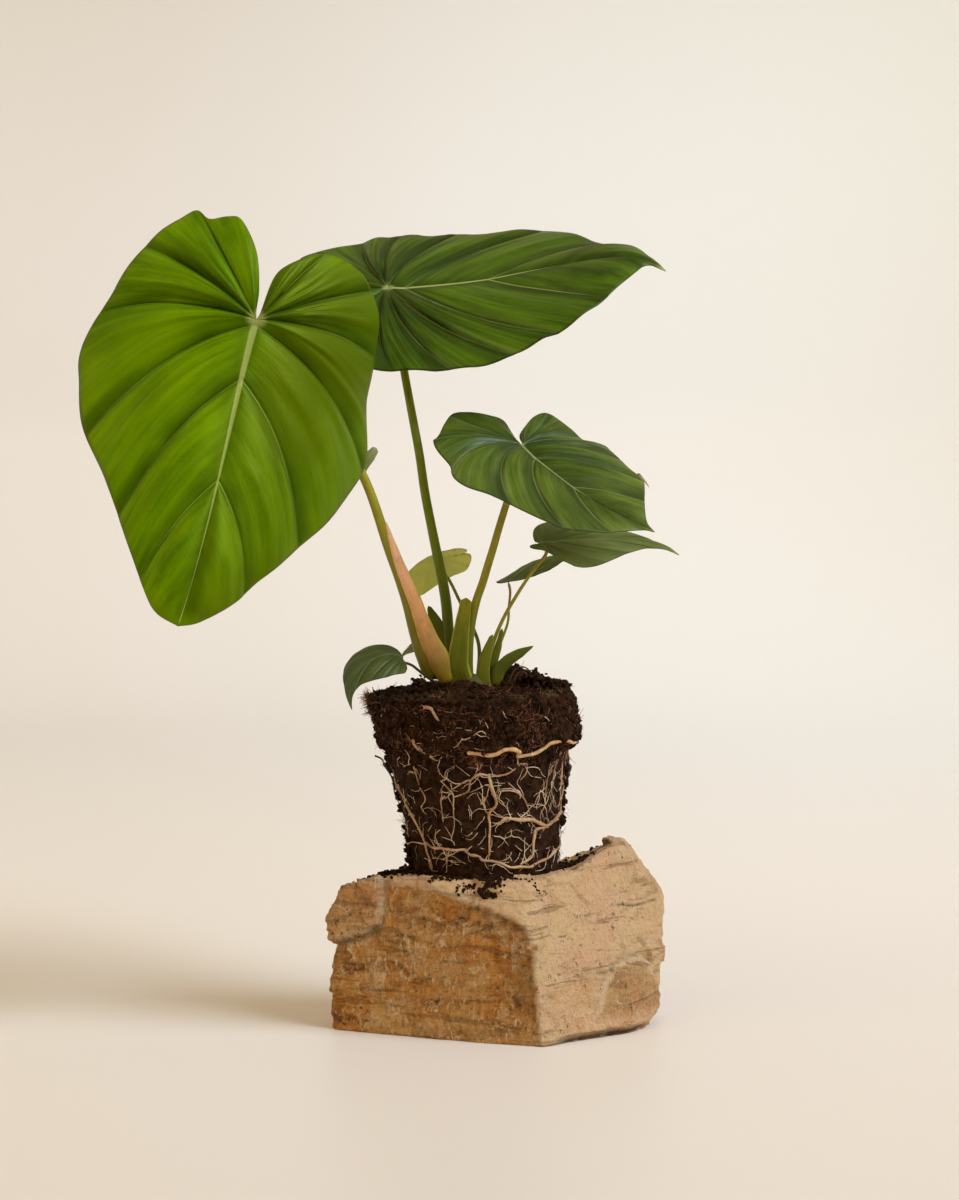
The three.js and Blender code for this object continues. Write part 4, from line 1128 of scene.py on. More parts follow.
class RootBall:
    """The ball of soil with its loose top, crumbs, fibres and moss."""

    # Steps of the wrapped grid up the ball and round it, and the shares of the way up where the
    # underside and the side end
    GRID = (230, 380)
    UNDERSIDE_END, SIDE_END = 0.07, 0.72
    # Middle of the top, and of the foot
    TOP_X, FOOT_X = -7.6, 0.2
    # Clumps on the top: X, Y, Z, spread, and how many crumbs
    TOP_CLUMPS = (
        (-37, -29, 191, 1.8, 60), (-36, -29, 195, 1.5, 40), (-33, -31, 188, 2.6, 40), (26, -12, 197, 3, 60),
        (34, -16, 194, 3.5, 60), (41, -14, 190, 3, 50), (-50, -18, 187, 2.5, 30),
    )
    # Clumps on the outline: angle in degrees, lowest and highest place, and crumbs in each
    SIDE_CLUMPS = (
        (-95, 120, 152), (95, 112, 150), (-88, 88, 112), (-92, 157, 163), (92, 157, 165), (94, 136, 146),
    )
    SIDE_CLUMP_CRUMBS = 60
    # Crumbs on the top, round the loose band and on the firm side
    TOP_CRUMBS, BAND_CRUMBS, FIRM_CRUMBS = 900, 1500, 900
    # Fibres: how many, and the lowest place of each kind; then tufts at the left rim, and moss
    FIBRES = (("fibres_red", 4000, 150.0), ("fibres_dark", 1800, 92.0))
    RIM_TUFTS = 150
    CUSHIONS, CUSHION_THREADS = 80, 20

    def __init__(self, shape: BallShape) -> None:
        """Keeps the shape."""
        self.shape = shape
        self.soil = SoilFinish().build("soil")

    def build(self) -> None:
        """Makes the ball and what lies on it."""
        self.build_body()
        self.build_grains()
        self.build_fibres()

    def build_body(self) -> bpy.types.Object:
        """The ball itself: a wrapped grid with crumbly relief."""
        shape = self.shape
        bm, place = unit_grid(*self.GRID)
        q, turn = place[:, 0], place[:, 1] * 2 * math.pi
        bottom, edge = self.UNDERSIDE_END, self.SIDE_END
        height = shape.foot + np.clip((q - bottom) / (edge - bottom), 0, 1) * (shape.rim - shape.foot)
        points = shape.side(turn, height)
        base = shape.side(turn, np.full(len(q), shape.foot))
        inner = np.clip(q / bottom, 0, 1)[:, None]
        low = np.array([self.FOOT_X, 0.0, shape.foot]) * (1 - inner) + base * inner
        out = np.clip((1 - q) / (1 - edge), 0, 1)
        rim = shape.side(turn, np.full(len(q), shape.rim))
        top_x = self.TOP_X + (rim[:, 0] - self.TOP_X) * out
        top = np.stack([top_x, rim[:, 1] * out, np.zeros(len(q))], -1)
        top[:, 2] = shape.top(top[:, 0], top[:, 1])
        rounding = smooth_step(q, edge - 0.01, edge + 0.03)[:, None]
        side = np.where((q < bottom)[:, None], low, points)
        set_places(bm, side * (1 - rounding) + top * rounding)
        bmesh.ops.remove_doubles(bm, verts=bm.verts, dist=1e-3)
        bmesh.ops.recalc_face_normals(bm, faces=bm.faces)
        bm.normal_update()
        rows = places(bm)
        normals = np.array([v.normal for v in bm.verts])
        loose = smooth_step(rows[:, 2], 150, 166)
        still = smooth_step(rows[:, 2], shape.foot, shape.foot + 2.5)
        lumps = grain(rows, 9, 4) * (0.7 + 1.5 * loose) + grain(rows, 3.2, 3, 7.0) * (0.45 + 0.6 * loose)
        pits = np.minimum(grain(rows, 5, 2, 3.0), 0) * (0.8 + 1.2 * loose)
        set_places(bm, rows + normals * ((lumps + pits) * still)[:, None])
        set_layer(bm, "loose", loose)
        patch = grain(rows, 14, 2, 11.0)
        left_rim = smooth_step(-rows[:, 0], 8, 30) * smooth_step(rows[:, 2], 178, 185)
        patch = patch + 0.6 * grain(rows, 4, 3, 17.0)
        set_layer(bm, "moss", np.clip(0.7 * left_rim * smooth_step(patch, -0.05, 0.3), 0, 1))
        return hand_over("soil_ball", bm, [self.soil], ["root_ball"])

    def build_grains(self) -> bpy.types.Object:
        """Crumbs on the top, round the loose band and down the sides."""
        grains = SoilGrains(11)
        random = grains.random
        shape = self.shape
        for _ in range(self.TOP_CRUMBS):
            angle, out = random.uniform(0, 2 * math.pi), math.sqrt(random.uniform(0, 1)) * 55
            x, y = -7 + out * math.sin(angle), -out * math.cos(angle)
            size = random.uniform(0.5, 1.5) * (1.5 if random.random() < 0.12 else 1)
            z = float(shape.top(np.array(x), np.array(y)))
            grains.drop((x, y, z + size * 0.2), size)
        for _ in range(self.BAND_CRUMBS):
            angle = random.uniform(0, 2 * math.pi)
            height = 148 + 40 * random.beta(1.6, 1.2)
            size = random.uniform(0.4, 1.7) * (1.5 if random.random() < 0.08 else 1)
            grains.drop(shape.side(angle, min(height, 186.0), size * 0.35), size)
        for _ in range(self.FIRM_CRUMBS):
            angle, height = random.uniform(0, 2 * math.pi), random.uniform(90, 152)
            size = random.uniform(0.3, 1.0)
            grains.drop(shape.side(angle, height, size * 0.1), size)
        for x, y, z, wide, count in self.TOP_CLUMPS:
            for _ in range(count):
                size = random.uniform(0.5, 2.2)
                spot = (x + random.normal(0, wide), y + random.normal(0, wide), z + random.normal(0, 1.3))
                grains.drop(spot, size)
        for middle, low, high in self.SIDE_CLUMPS:
            for _ in range(self.SIDE_CLUMP_CRUMBS):
                size = random.uniform(0.7, 2.0)
                angle, height = math.radians(middle + random.uniform(-14, 14)), random.uniform(low, high)
                grains.drop(shape.side(angle, height, size * 0.8), size)
        return grains.finish("soil_grains", self.soil)

    def build_fibres(self) -> None:
        """Soil fibres that stand out at the top and sides, reddish ones and dark ones, and moss."""
        random = np.random.default_rng(5)
        shape = self.shape
        groups = {"fibres_red": [], "fibres_dark": [], "moss_tufts": []}
        for kind, count, low in self.FIBRES:
            for _ in range(count):
                angle, height = random.uniform(0, 2 * math.pi), random.uniform(low, 192)
                start = shape.side(angle, min(height, 186.0), 0.4)
                if kind == "fibres_red" and grain(start[None], 15, 2, 4.0)[0] < 0.0 and random.random() < 0.8:
                    continue
                out = np.array([math.sin(angle), -math.cos(angle), 0.0])
                if height > 184:
                    start = start - out * random.uniform(0, 46)
                    start[2] = float(shape.top(start[0], start[1])) + 0.4
                    out = np.array([0, 0, 1.0])
                across = unit(np.cross(out, random.normal(size=3)))
                length = random.uniform(2, 6) * (1.6 if random.random() < 0.12 else 1)
                stand = random.uniform(0.0, 0.35) if random.random() < 0.7 else random.uniform(0.4, 1.3)
                thick = random.uniform(0.09, 0.16)
                groups[kind].append(self._fibre(random, start, out * stand, across, length, thick))
        for _ in range(self.RIM_TUFTS):
            angle, height = math.radians(random.normal(-86, 7)), random.uniform(176, 189)
            start = shape.side(angle, min(height, 186.0), 0.2)
            out = np.array([math.sin(angle), -math.cos(angle), random.uniform(-0.1, 0.9)])
            across = unit(np.cross(out, random.normal(size=3)))
            groups["fibres_red"].append(self._fibre(random, start, out, across, random.uniform(3, 7), 0.15))
        for _ in range(self.CUSHIONS):
            angle, inward = random.uniform(-100, 70), random.uniform(1, 14)
            if -6 < angle < 20:
                continue
            for _ in range(self.CUSHION_THREADS):
                depth = max(1.5, inward + random.normal(0, 1.8))
                start = shape.side(math.radians(angle + random.normal(0, 2.4)), 186.0, -depth)
                start[2] = float(shape.top(start[0], start[1])) + random.uniform(-1.2, 0.4) - 2.0 / depth
                out = unit(np.array([random.normal(0, 0.5), random.normal(0, 0.5), 1.0]))
                across = unit(np.cross(out, random.normal(size=3)))
                length = random.uniform(0.8, 2.2)
                groups["moss_tufts"].append(self._fibre(random, start, out, across, length, 0.2))
        finishes = {
            "fibres_red": FibreFinish((0.07, 0.02, 0.007), (0.34, 0.125, 0.05)),
            "fibres_dark": FibreFinish((0.01, 0.004, 0.002), (0.08, 0.032, 0.014)),
            "moss_tufts": FibreFinish((0.03, 0.019, 0.004), (0.17, 0.11, 0.02)),
        }
        for kind, strands in groups.items():
            strands_piece(kind, strands, finishes[kind].build(kind), 0)

    @staticmethod
    def _fibre(
        random: np.random.Generator,
        start: np.ndarray,
        out: np.ndarray,
        across: np.ndarray,
        length: float,
        thick: float,
    ) -> Strand:
        """A short curved fibre that leaves a place along out and leans across."""
        steps = np.linspace(0, 1, 4)[:, None]
        lean = random.uniform(0.4, 1.0)
        curl = unit(np.cross(out + 1e-3, across)) * random.uniform(-0.6, 0.6)
        line = start + out * steps * length * 0.6
        line = line + across * (steps - 0.3) * length * lean + curl * steps**2 * length
        return Strand(line, np.linspace(1.0, 0.5, 4) * thick * random.uniform(0.7, 1.4))


@dataclass(frozen=True)
class RootLine:
    """A main root: rows of [angle in degrees, height], and its thickness."""

    thick: float
    path: tuple[Pair, ...]


class RootWeb:
    """The roots that wrap the ball, the main ones and what grows from them."""

    MAIN = (
        RootLine(1.9, ((-50, 106), (-36, 104), (-17, 104), (-8, 101), (4, 98), (25, 94), (42, 95), (60, 99),
                       (84, 103), (112, 106), (140, 101), (168, 97), (196, 99), (224, 104), (252, 101),
                       (282, 104), (310, 106))),
        RootLine(1.8, ((-74, 134), (-69, 128), (-59, 120), (-51, 107), (-47, 97), (-46, 92))),
        RootLine(2.2, ((8, 147), (8, 139), (10, 131), (6, 124), (5, 115), (2, 101))),
        RootLine(1.6, ((8, 146), (1, 146), (-5, 143), (-8, 137), (-17, 133))),
        RootLine(1.0, ((-5, 143), (-12, 141), (-22, 136))),
        RootLine(1.3, ((-24, 134), (-28, 129), (-29, 119))),
        RootLine(1.3, ((8, 146), (16, 146), (23, 148), (30, 151))),
        RootLine(2.4, ((-37, 164.5), (-36, 162), (-35, 159))),
        RootLine(1.1, ((-35, 159), (-31, 155), (-25, 153), (-21, 156))),
        RootLine(0.9, ((28, 152), (34, 151), (33, 145), (29, 142))),
        RootLine(1.1, ((12, 137), (21, 137), (30, 133), (33, 127), (36, 122))),
        RootLine(0.8, ((20, 141), (27, 136), (31, 133))),
        RootLine(2.5, ((10, 119), (20, 121), (36, 120), (52, 116), (61, 118), (83, 121), (104, 119),
                       (124, 124), (144, 130), (160, 126), (178, 132), (196, 142))),
        RootLine(2.2, ((52, 116), (41, 114), (38, 109), (37, 100), (28, 95))),
        RootLine(1.0, ((-55, 148), (-47, 150), (-43, 147))),
        RootLine(1.0, ((-47, 149), (-43, 138), (-40, 130), (-47, 127))),
        RootLine(1.0, ((-26, 142), (-21, 138), (-19, 131), (-20, 118), (-24, 109))),
        RootLine(0.8, ((-44, 98), (-32, 98), (-19, 98))),
        RootLine(0.9, ((-31, 102), (-31, 95))),
        RootLine(1.1, ((65, 156), (62, 146), (59, 135), (66, 126))),
        RootLine(0.9, ((63, 154), (54, 141), (51, 130), (46, 122))),
        RootLine(0.8, ((58, 146), (46, 136), (41, 128))),
        RootLine(1.3, ((72, 150), (73, 136), (74, 122))),
        RootLine(0.7, ((11, 112), (16, 110), (21, 112))),
        RootLine(1.1, ((3, 134), (3, 126), (6, 123))),
        RootLine(1.2, ((81, 156), (84, 142), (80, 130), (84, 120))),
        RootLine(1.9, ((150, 152), (146, 140), (151, 127), (158, 114), (162, 98))),
        RootLine(2.1, ((208, 158), (203, 146), (209, 134), (204, 120), (211, 103))),
        RootLine(1.5, ((206, 126), (222, 124), (236, 130), (250, 128))),
        RootLine(1.7, ((250, 152), (246, 138), (252, 126), (247, 114), (252, 101))),
        RootLine(1.4, ((250, 134), (266, 131), (279, 139), (288, 132), (297, 121))),
        RootLine(2.6, ((-27, 183), (-24, 182.5), (-21, 181), (-18, 176))),
        RootLine(0.9, ((-9, 166), (-5, 167), (0, 169.3), (4, 170), (7, 166))),
    )
    # Twigs that stand out of the soil, as points in space
    TWIGS = (
        ((13, -12, 193), (16, -12, 200), (20, -12, 202.5), (24, -11, 201), (27, -10, 195)),
        ((16, -14, 194), (18, -15, 199), (22, -15, 199.5), (25, -15, 195)),
        ((30, -20, 191), (34, -22, 195), (38, -22, 193)),
        ((-36, -30, 186), (-38, -31, 191), (-36, -31, 194.5)),
        ((-57, -20, 184), (-61, -22, 188), (-62, -23, 192)),
        ((-55, -26, 182), (-60, -29, 184), (-63, -30, 183)),
        ((-57, -3, 148), (-52, -4, 140), (-50.2, -5, 130.5), (-47, -5, 124)),
        ((-61.5, -2, 152), (-58, -3, 150.5), (-55, -4, 146)),
        ((45, -3, 151), (47.5, -4, 145), (46, -5, 139)),
    )
    BAND = RootLine(2.8, ((-5, 158), (6, 157), (14, 159), (20, 160), (25, 159), (27, 155.5), (37, 157),
                          (42, 159), (49, 162.5), (57, 163), (74, 160), (92, 162), (108, 159)))

    # Millimetres of main root for each branch, fine roots on the firm side and in the loose soil,
    # one step of a fine root, and the ball's mean radius
    BRANCH_SPACING, FREE_ROOTS, LOOSE_ROOTS = 7.5, 200, 40
    STRIDE, MEAN_RADIUS = 1.5, 46

    def __init__(self, shape: BallShape) -> None:
        """Keeps the ball that the roots lie on."""
        self.shape = shape
        self.random = np.random.default_rng(23)
        self.finish = RootFinish().build("root_skin")

    def build(self) -> None:
        """Makes the main roots, the band, the fine roots and some twigs."""
        main = [self._lay(root) for root in self.MAIN]
        strands_piece("roots_main", main, self.finish, 4, ["root_web"])
        orange = RootFinish((0.72, 0.43, 0.2), (0.5, 0.25, 0.09)).build("root_band_skin")
        strands_piece("roots_band", [self._lay(self.BAND)], orange, 6, ["root_band"])
        white = RootFinish((0.82, 0.64, 0.44), (0.52, 0.34, 0.19)).build("root_tip_skin")
        strands_piece("roots_fine", self._fine_roots(), white, 1)
        bark = FibreFinish((0.02, 0.008, 0.004), (0.1, 0.045, 0.02)).build("twig_bark")
        steps, radii = np.linspace(0, 1, 14), np.linspace(0.6, 0.25, 14)
        twigs = [Strand(Route(path).at(steps), radii) for path in self.TWIGS]
        strands_piece("twigs", twigs, bark, 1)

    def _lay(self, root: RootLine) -> Strand:
        """A main root laid on the ball, with small bends and swellings."""
        curve = MarginCurve(root.path)
        count = max(12, int(curve.lengths[-1] * 0.9))
        share = np.linspace(0, 1, count)
        spots = curve.at(share)
        phase = self.random.uniform(0, 6.28, 4)
        step = share * count
        spots[:, 0] += 0.7 * np.sin(step / 4.1 + phase[0]) + 0.4 * np.sin(step / 1.9 + phase[1])
        spots[:, 1] += 0.45 * np.sin(step / 3.3 + phase[2])
        swell = 1 + 0.12 * np.sin(step / 2.3 + phase[3]) + 0.08 * self.random.normal(size=count)
        radii = 0.4 * root.thick * spread((1.0, 1.0, 0.8, 0.55), share) * swell
        radii[[0, -1]] *= 0.6
        bury = 0.35 * root.thick - 0.5 * smooth_step(np.sin(step / 5.3 + phase[1]), 0.3, 1.0)
        bury = bury + 0.9 * smooth_step(spots[:, 1], 153, 161)
        points = self.shape.side(np.radians(spots[:, 0]), spots[:, 1], bury)
        return Strand(points, radii)

    def _fine_roots(self) -> list[Strand]:
        """Thin roots that leave the main ones, and loose ones between them."""
        random = self.random
        strands = []
        for root in self.MAIN:
            curve = MarginCurve(root.path)
            for share in random.uniform(0.02, 0.98, max(3, int(curve.lengths[-1] / self.BRANCH_SPACING))):
                spot = curve.at(np.array([share]))[0]
                strands.append(self._grow(spot, random.uniform(5, 20), random.uniform(0.16, 0.36)))
        for _ in range(self.FREE_ROOTS):
            spot = np.array([random.uniform(0, 360), random.uniform(93, 156)])
            strands.append(self._grow(spot, random.uniform(4, 16), random.uniform(0.12, 0.26)))
        for _ in range(self.LOOSE_ROOTS):
            spot = np.array([random.uniform(0, 360), random.uniform(150, 184)])
            strands.append(self._grow(spot, random.uniform(4, 10), random.uniform(0.14, 0.26)))
        return strands

    def _grow(self, spot: np.ndarray, length: float, radius: float) -> Strand:
        """A thin root that wanders over the ball from a spot."""
        random = self.random
        heading = random.uniform(0, 2 * math.pi)
        stride = self.STRIDE
        count = max(5, int(length / stride))
        degrees_per_mm = 180 / (math.pi * self.MEAN_RADIUS)
        spots = [np.array(spot, float)]
        for _ in range(count - 1):
            heading += random.normal(0, 0.32)
            step = np.array([math.cos(heading) * stride * degrees_per_mm, math.sin(heading) * stride])
            spots.append(spots[-1] + step)
        rows = np.array(spots)
        rows[:, 1] = np.clip(rows[:, 1], 91, 185)
        lift = 0.35 + 0.25 * np.sin(np.linspace(0, 9, count) + heading)
        lift[-1] -= 0.6
        points = self.shape.side(np.radians(rows[:, 0]), rows[:, 1], lift)
        return Strand(points, np.linspace(1.0, 0.4, count) * radius)


# Stone


class Stone:
    """The block of sandstone: fine relief over the solid's faces, two tones and cracks."""

    VOXEL = 1.2
    # Fixes how the fracture faces tilt
    SEED = 5
    # Upper edge of the ochre face, seen from the front, as (X, Z)
    RIDGE = ((-95, 82), (-56, 84), (-40, 83), (-25, 81), (-19, 78), (-3, 74), (11, 69), (16, 67), (22, 62),
             (24, 57), (26, 47), (27, 30), (28.5, 14), (30, 0), (31, -20))
    # Ledge of the chunk at the upper left, and the bowed crack at the lower right
    LEDGE = ((-55, 86), (-55.5, 75), (-57, 61.5), (-68, 54), (-77, 52), (-84, 50))
    BOWED = ((62, 14), (65, 28.5), (72.5, 38), (85, 41), (93, 37), (96, 28.5))
    SLIT = ((74, 69), (84, 67.5), (96, 69))

    def __init__(self) -> None:
        """Builds the finish."""
        self.material = StoneFinish().build("stone_skin")

    def build(self) -> BVHTree:
        """Makes the stone.

        Returns:
            Its surface in millimetres, to lay crumbs on.
        """
        noise.seed_set(self.SEED)
        bm = bmesh.new()
        bm.from_mesh(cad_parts["stone"].data)
        bmesh.ops.scale(bm, vec=(1 / MM,) * 3, verts=bm.verts)
        bmesh.ops.remove_doubles(bm, verts=bm.verts, dist=0.01)
        mesh = bpy.data.meshes.new("stone_rough")
        bm.to_mesh(mesh)
        bm.free()
        carrier = bpy.data.objects.new("stone_rough", mesh)
        bpy.context.scene.collection.objects.link(carrier)
        remesh = carrier.modifiers.new("remesh", "REMESH")
        remesh.mode = "VOXEL"
        remesh.voxel_size = self.VOXEL
        bm = evaluated_copy(carrier)
        for _ in range(2):
            bmesh.ops.smooth_vert(
                bm, verts=bm.verts, factor=0.5, use_axis_x=True, use_axis_y=True, use_axis_z=True
            )
        bm.normal_update()
        rows, normals = places(bm), np.array([v.normal for v in bm.verts])
        x, z = rows[:, 0], rows[:, 2]
        ridge, past_ledge = self._distance(rows, self.RIDGE), self._distance(rows, self.LEDGE)
        ledge = np.abs(past_ledge)
        chunk = smooth_step(-past_ledge, -0.3, 1.2) * smooth_step(-x, 50, 56) * smooth_step(z, 47, 53)
        bowed, slit = self._distance(rows, self.BOWED), np.abs(self._distance(rows, self.SLIT))
        front = smooth_step(-normals[:, 1], 0.05, 0.4)
        pale = self._pale(rows, normals, ridge, front)
        height = self._relief(rows, normals, ridge, ledge, bowed, slit, front) + 2.8 * chunk * front
        floor = smooth_step(z, 0.2, 2.5)
        moved = rows + normals * (height * floor)[:, None]
        under = 4.0 * (1 - smooth_step(z, 0, 5)) * smooth_step(x, 36, 52) * front
        moved[:, :2] -= normals[:, :2] * under[:, None]
        moved[:, 2] = np.maximum(moved[:, 2], 0.0)
        set_places(bm, moved)
        heart = smooth_step(-bowed, 1.0, 4.0) * smooth_step(x, 55, 64) * smooth_step(z, 6, 14) * front
        set_layer(bm, "pale", np.maximum(pale * (1 - 0.6 * heart), 0.35 * chunk))
        edge_noise = grain(rows, 6, 3, 2.0)
        crack = np.maximum.reduce([
            np.exp(-((ledge / 1.8) ** 2)) * 0.95,
            np.exp(-(((ridge - 0.5) / 0.8) ** 2)) * 0.9,
            np.exp(-(((bowed + 0.6) / 1.5) ** 2)) * 0.75,
        ]) * front * smooth_step(edge_noise, -0.5, 0.15)
        set_layer(bm, "crack", np.clip(crack, 0, 1))
        # Painted shade: dark where the relief sinks, in the slit, below the ledge and under the undercut foot
        # at the right
        foot = (1 - smooth_step(z, 0.5, 5.5)) * smooth_step(x, 34, 46) * front
        in_slit = np.exp(-((slit / 0.5) ** 2))
        recess_shade = smooth_step(-height, 1.8, 3.4) * 0.35 + in_slit * front * 0.7 + 0.85 * foot
        recess_shade += 0.5 * np.exp(-(((past_ledge - 2.2) / 1.3) ** 2)) * front * (1 - smooth_step(z, 56, 62))
        set_layer(bm, "recess_shade", np.clip(recess_shade, 0, 1))
        # Painted shade: a dark band just inside the ridge on the ochre face; inside the bowed crack the same
        # layer carries a real brown patch
        near, wide = np.exp(-(((ridge + 2.2) / 2.0) ** 2)), 0.65 * np.exp(-(((ridge + 6) / 8) ** 2))
        mottle = 0.65 + 0.5 * grain(rows, 5, 3, 12.0)
        ridge_shade_and_umber = np.maximum(near, wide) * mottle * smooth_step(x, -12, 8) * smooth_step(z, 4, 26)
        inside = smooth_step(-bowed, 1.2, 5) * smooth_step(x, 55, 66) * 0.3 * mottle
        set_layer(bm, "ridge_shade_and_umber", np.clip(np.maximum(ridge_shade_and_umber * 0.75, inside) * front, 0, 1))
        tree = BVHTree.FromBMesh(bm)
        hand_over("stone_block", bm, [self.material], ["stone"])
        return tree

    @staticmethod
    def _distance(rows: np.ndarray, line: Sequence[Pair]) -> np.ndarray:
        """Distance in the front view to a line; positive to the right of it or above it."""
        spots = rows[:, [0, 2]]
        best = np.full(len(rows), 1e9)
        sign = np.ones(len(rows))
        for a, b in zip(line[:-1], line[1:]):
            start, run = np.array(a, float), np.array(b, float) - np.array(a, float)
            rest = spots - start
            share = np.clip(rest @ run / (run @ run), 0, 1)
            gap = np.linalg.norm(rest - share[:, None] * run, axis=1)
            side = np.sign(run[0] * rest[:, 1] - run[1] * rest[:, 0])
            nearer = gap < best
            best = np.where(nearer, gap, best)
            sign = np.where(nearer, side, sign)
        return best * sign

    @staticmethod
    def _pale(rows: np.ndarray, normals: np.ndarray, ridge: np.ndarray, front: np.ndarray) -> np.ndarray:
        """Share of the pale tone: beyond the ridge, on the top, and in patches at the back."""
        wander = grain(rows, 7, 3, 5.0)
        beyond = smooth_step(ridge + wander * 1.4, -0.8, 0.8)
        top = smooth_step(normals[:, 2], 0.5, 0.8)
        patches = smooth_step(grain(rows, 40, 4, 9.0) + rows[:, 0] / 120, -0.25, 0.25)
        return np.clip(np.maximum(beyond * front + patches * (1 - front), top), 0, 1)

    @staticmethod
    def _relief(
        rows: np.ndarray,
        normals: np.ndarray,
        ridge: np.ndarray,
        ledge: np.ndarray,
        bowed: np.ndarray,
        slit: np.ndarray,
        front: np.ndarray,
    ) -> np.ndarray:
        """Height of the broken surface."""
        height = Stone._chips(rows * np.array([0.8, 0.8, 1.2]), 27, 4.0, 0.0)
        height += Stone._chips(rows * np.array([0.8, 0.8, 1.3]), 9, 1.6, 3.0)
        height += grain(rows, 24, 4, 1.0) * 0.7 + grain(rows, 4, 3, 4.0) * 0.5
        strata = rows * np.array([0.35, 0.35, 1.9])
        height += grain(strata, 8, 4, 6.0) * 0.5 * (1 - np.abs(normals[:, 2]))
        upright = grain(rows * np.array([2.0, 1.2, 0.5]), 9, 3, 8.0)
        height += upright * 0.5 * front * smooth_step(-ridge, 1, 6)
        height += front * smooth_step(ridge, -0.7, 0.9) * (1 - smooth_step(ridge, 4, 22)) * 2.2
        height += grain(rows, 2.2, 3, 21.0) * 0.35
        height -= front * np.exp(-((ledge / 1.3) ** 2)) * 1.6
        height -= front * np.exp(-(((bowed - 0.9) / 0.9) ** 2)) * 1.8
        height -= front * np.exp(-((slit / 0.6) ** 2)) * 1.0
        return height

    @staticmethod
    def _chips(rows: np.ndarray, size: float, depth: float, seed: float) -> np.ndarray:
        """Flat fracture faces, each tilted its own way, with a step where two of them meet."""
        result = np.zeros(len(rows))
        shift = Vector((seed, seed, seed))
        for i, row in enumerate(rows):
            spot = Vector(row) / size + shift
            centre = noise.voronoi(spot)[1][0]
            tilt = noise.noise_vector(centre * 7.31)
            result[i] = (spot - centre).dot(tilt) + 0.25 * tilt.x
        return np.clip(result, -0.8, 0.8) * depth


@dataclass
class SoilSpill:
    """Soil that has crumbled onto the stone round the ball's foot."""

    stone: BVHTree
    material: bpy.types.Material
    # X, Y, spread in X, spread in Y, how many crumbs and their largest size
    patches: tuple[tuple[float, float, float, float, int, float], ...] = (
        (2, -49, 3, 2.5, 230, 1.4), (-6, -46, 7, 1.5, 70, 1.1), (3, -54, 1.6, 2.2, 120, 1.4),
        (-2, -52, 1.5, 1.5, 50, 1.7),
        (-60, -2, 4, 3, 80, 2.2), (-44, -8, 6, 7, 160, 1.5), (-34, -26, 6, 4, 70, 1.2),
        (48, 16, 4, 6, 130, 1.8), (56, 22, 3, 4, 50, 1.3), (42, 4, 2, 5, 60, 1.3),
        (0, -41.5, 22, 1.2, 240, 1.1), (0, 44, 26, 4, 160, 1.5), (-46, 8, 5, 9, 90, 1.5),
    )

    def build(self) -> bpy.types.Object:
        """Drops the crumbs on the stone."""
        grains = SoilGrains(31)
        random = grains.random
        for x, y, wide, deep, count, largest in self.patches:
            for _ in range(count):
                px, py = x + random.normal(0, wide), y + random.normal(0, deep)
                hit = self.stone.ray_cast(Vector((px, py, 140.0)), Vector((0, 0, -1)))
                if hit[0] is None or hit[1].z < 0.05 or math.hypot(px - 0.2, py) < 38.5:
                    continue
                if hit[0].z < (85 if px > 30 else 79):
                    continue
                size = largest * random.uniform(0.25, 1.0)
                grains.drop(hit[0] + Vector((0, 0, size * random.uniform(0.1, 0.6))), size)
        crumbs = ["soil_crumbs_front", "soil_crumbs_left", "soil_crumbs_right"]
        return grains.finish("soil_spill", self.material, crumbs)


# Studio


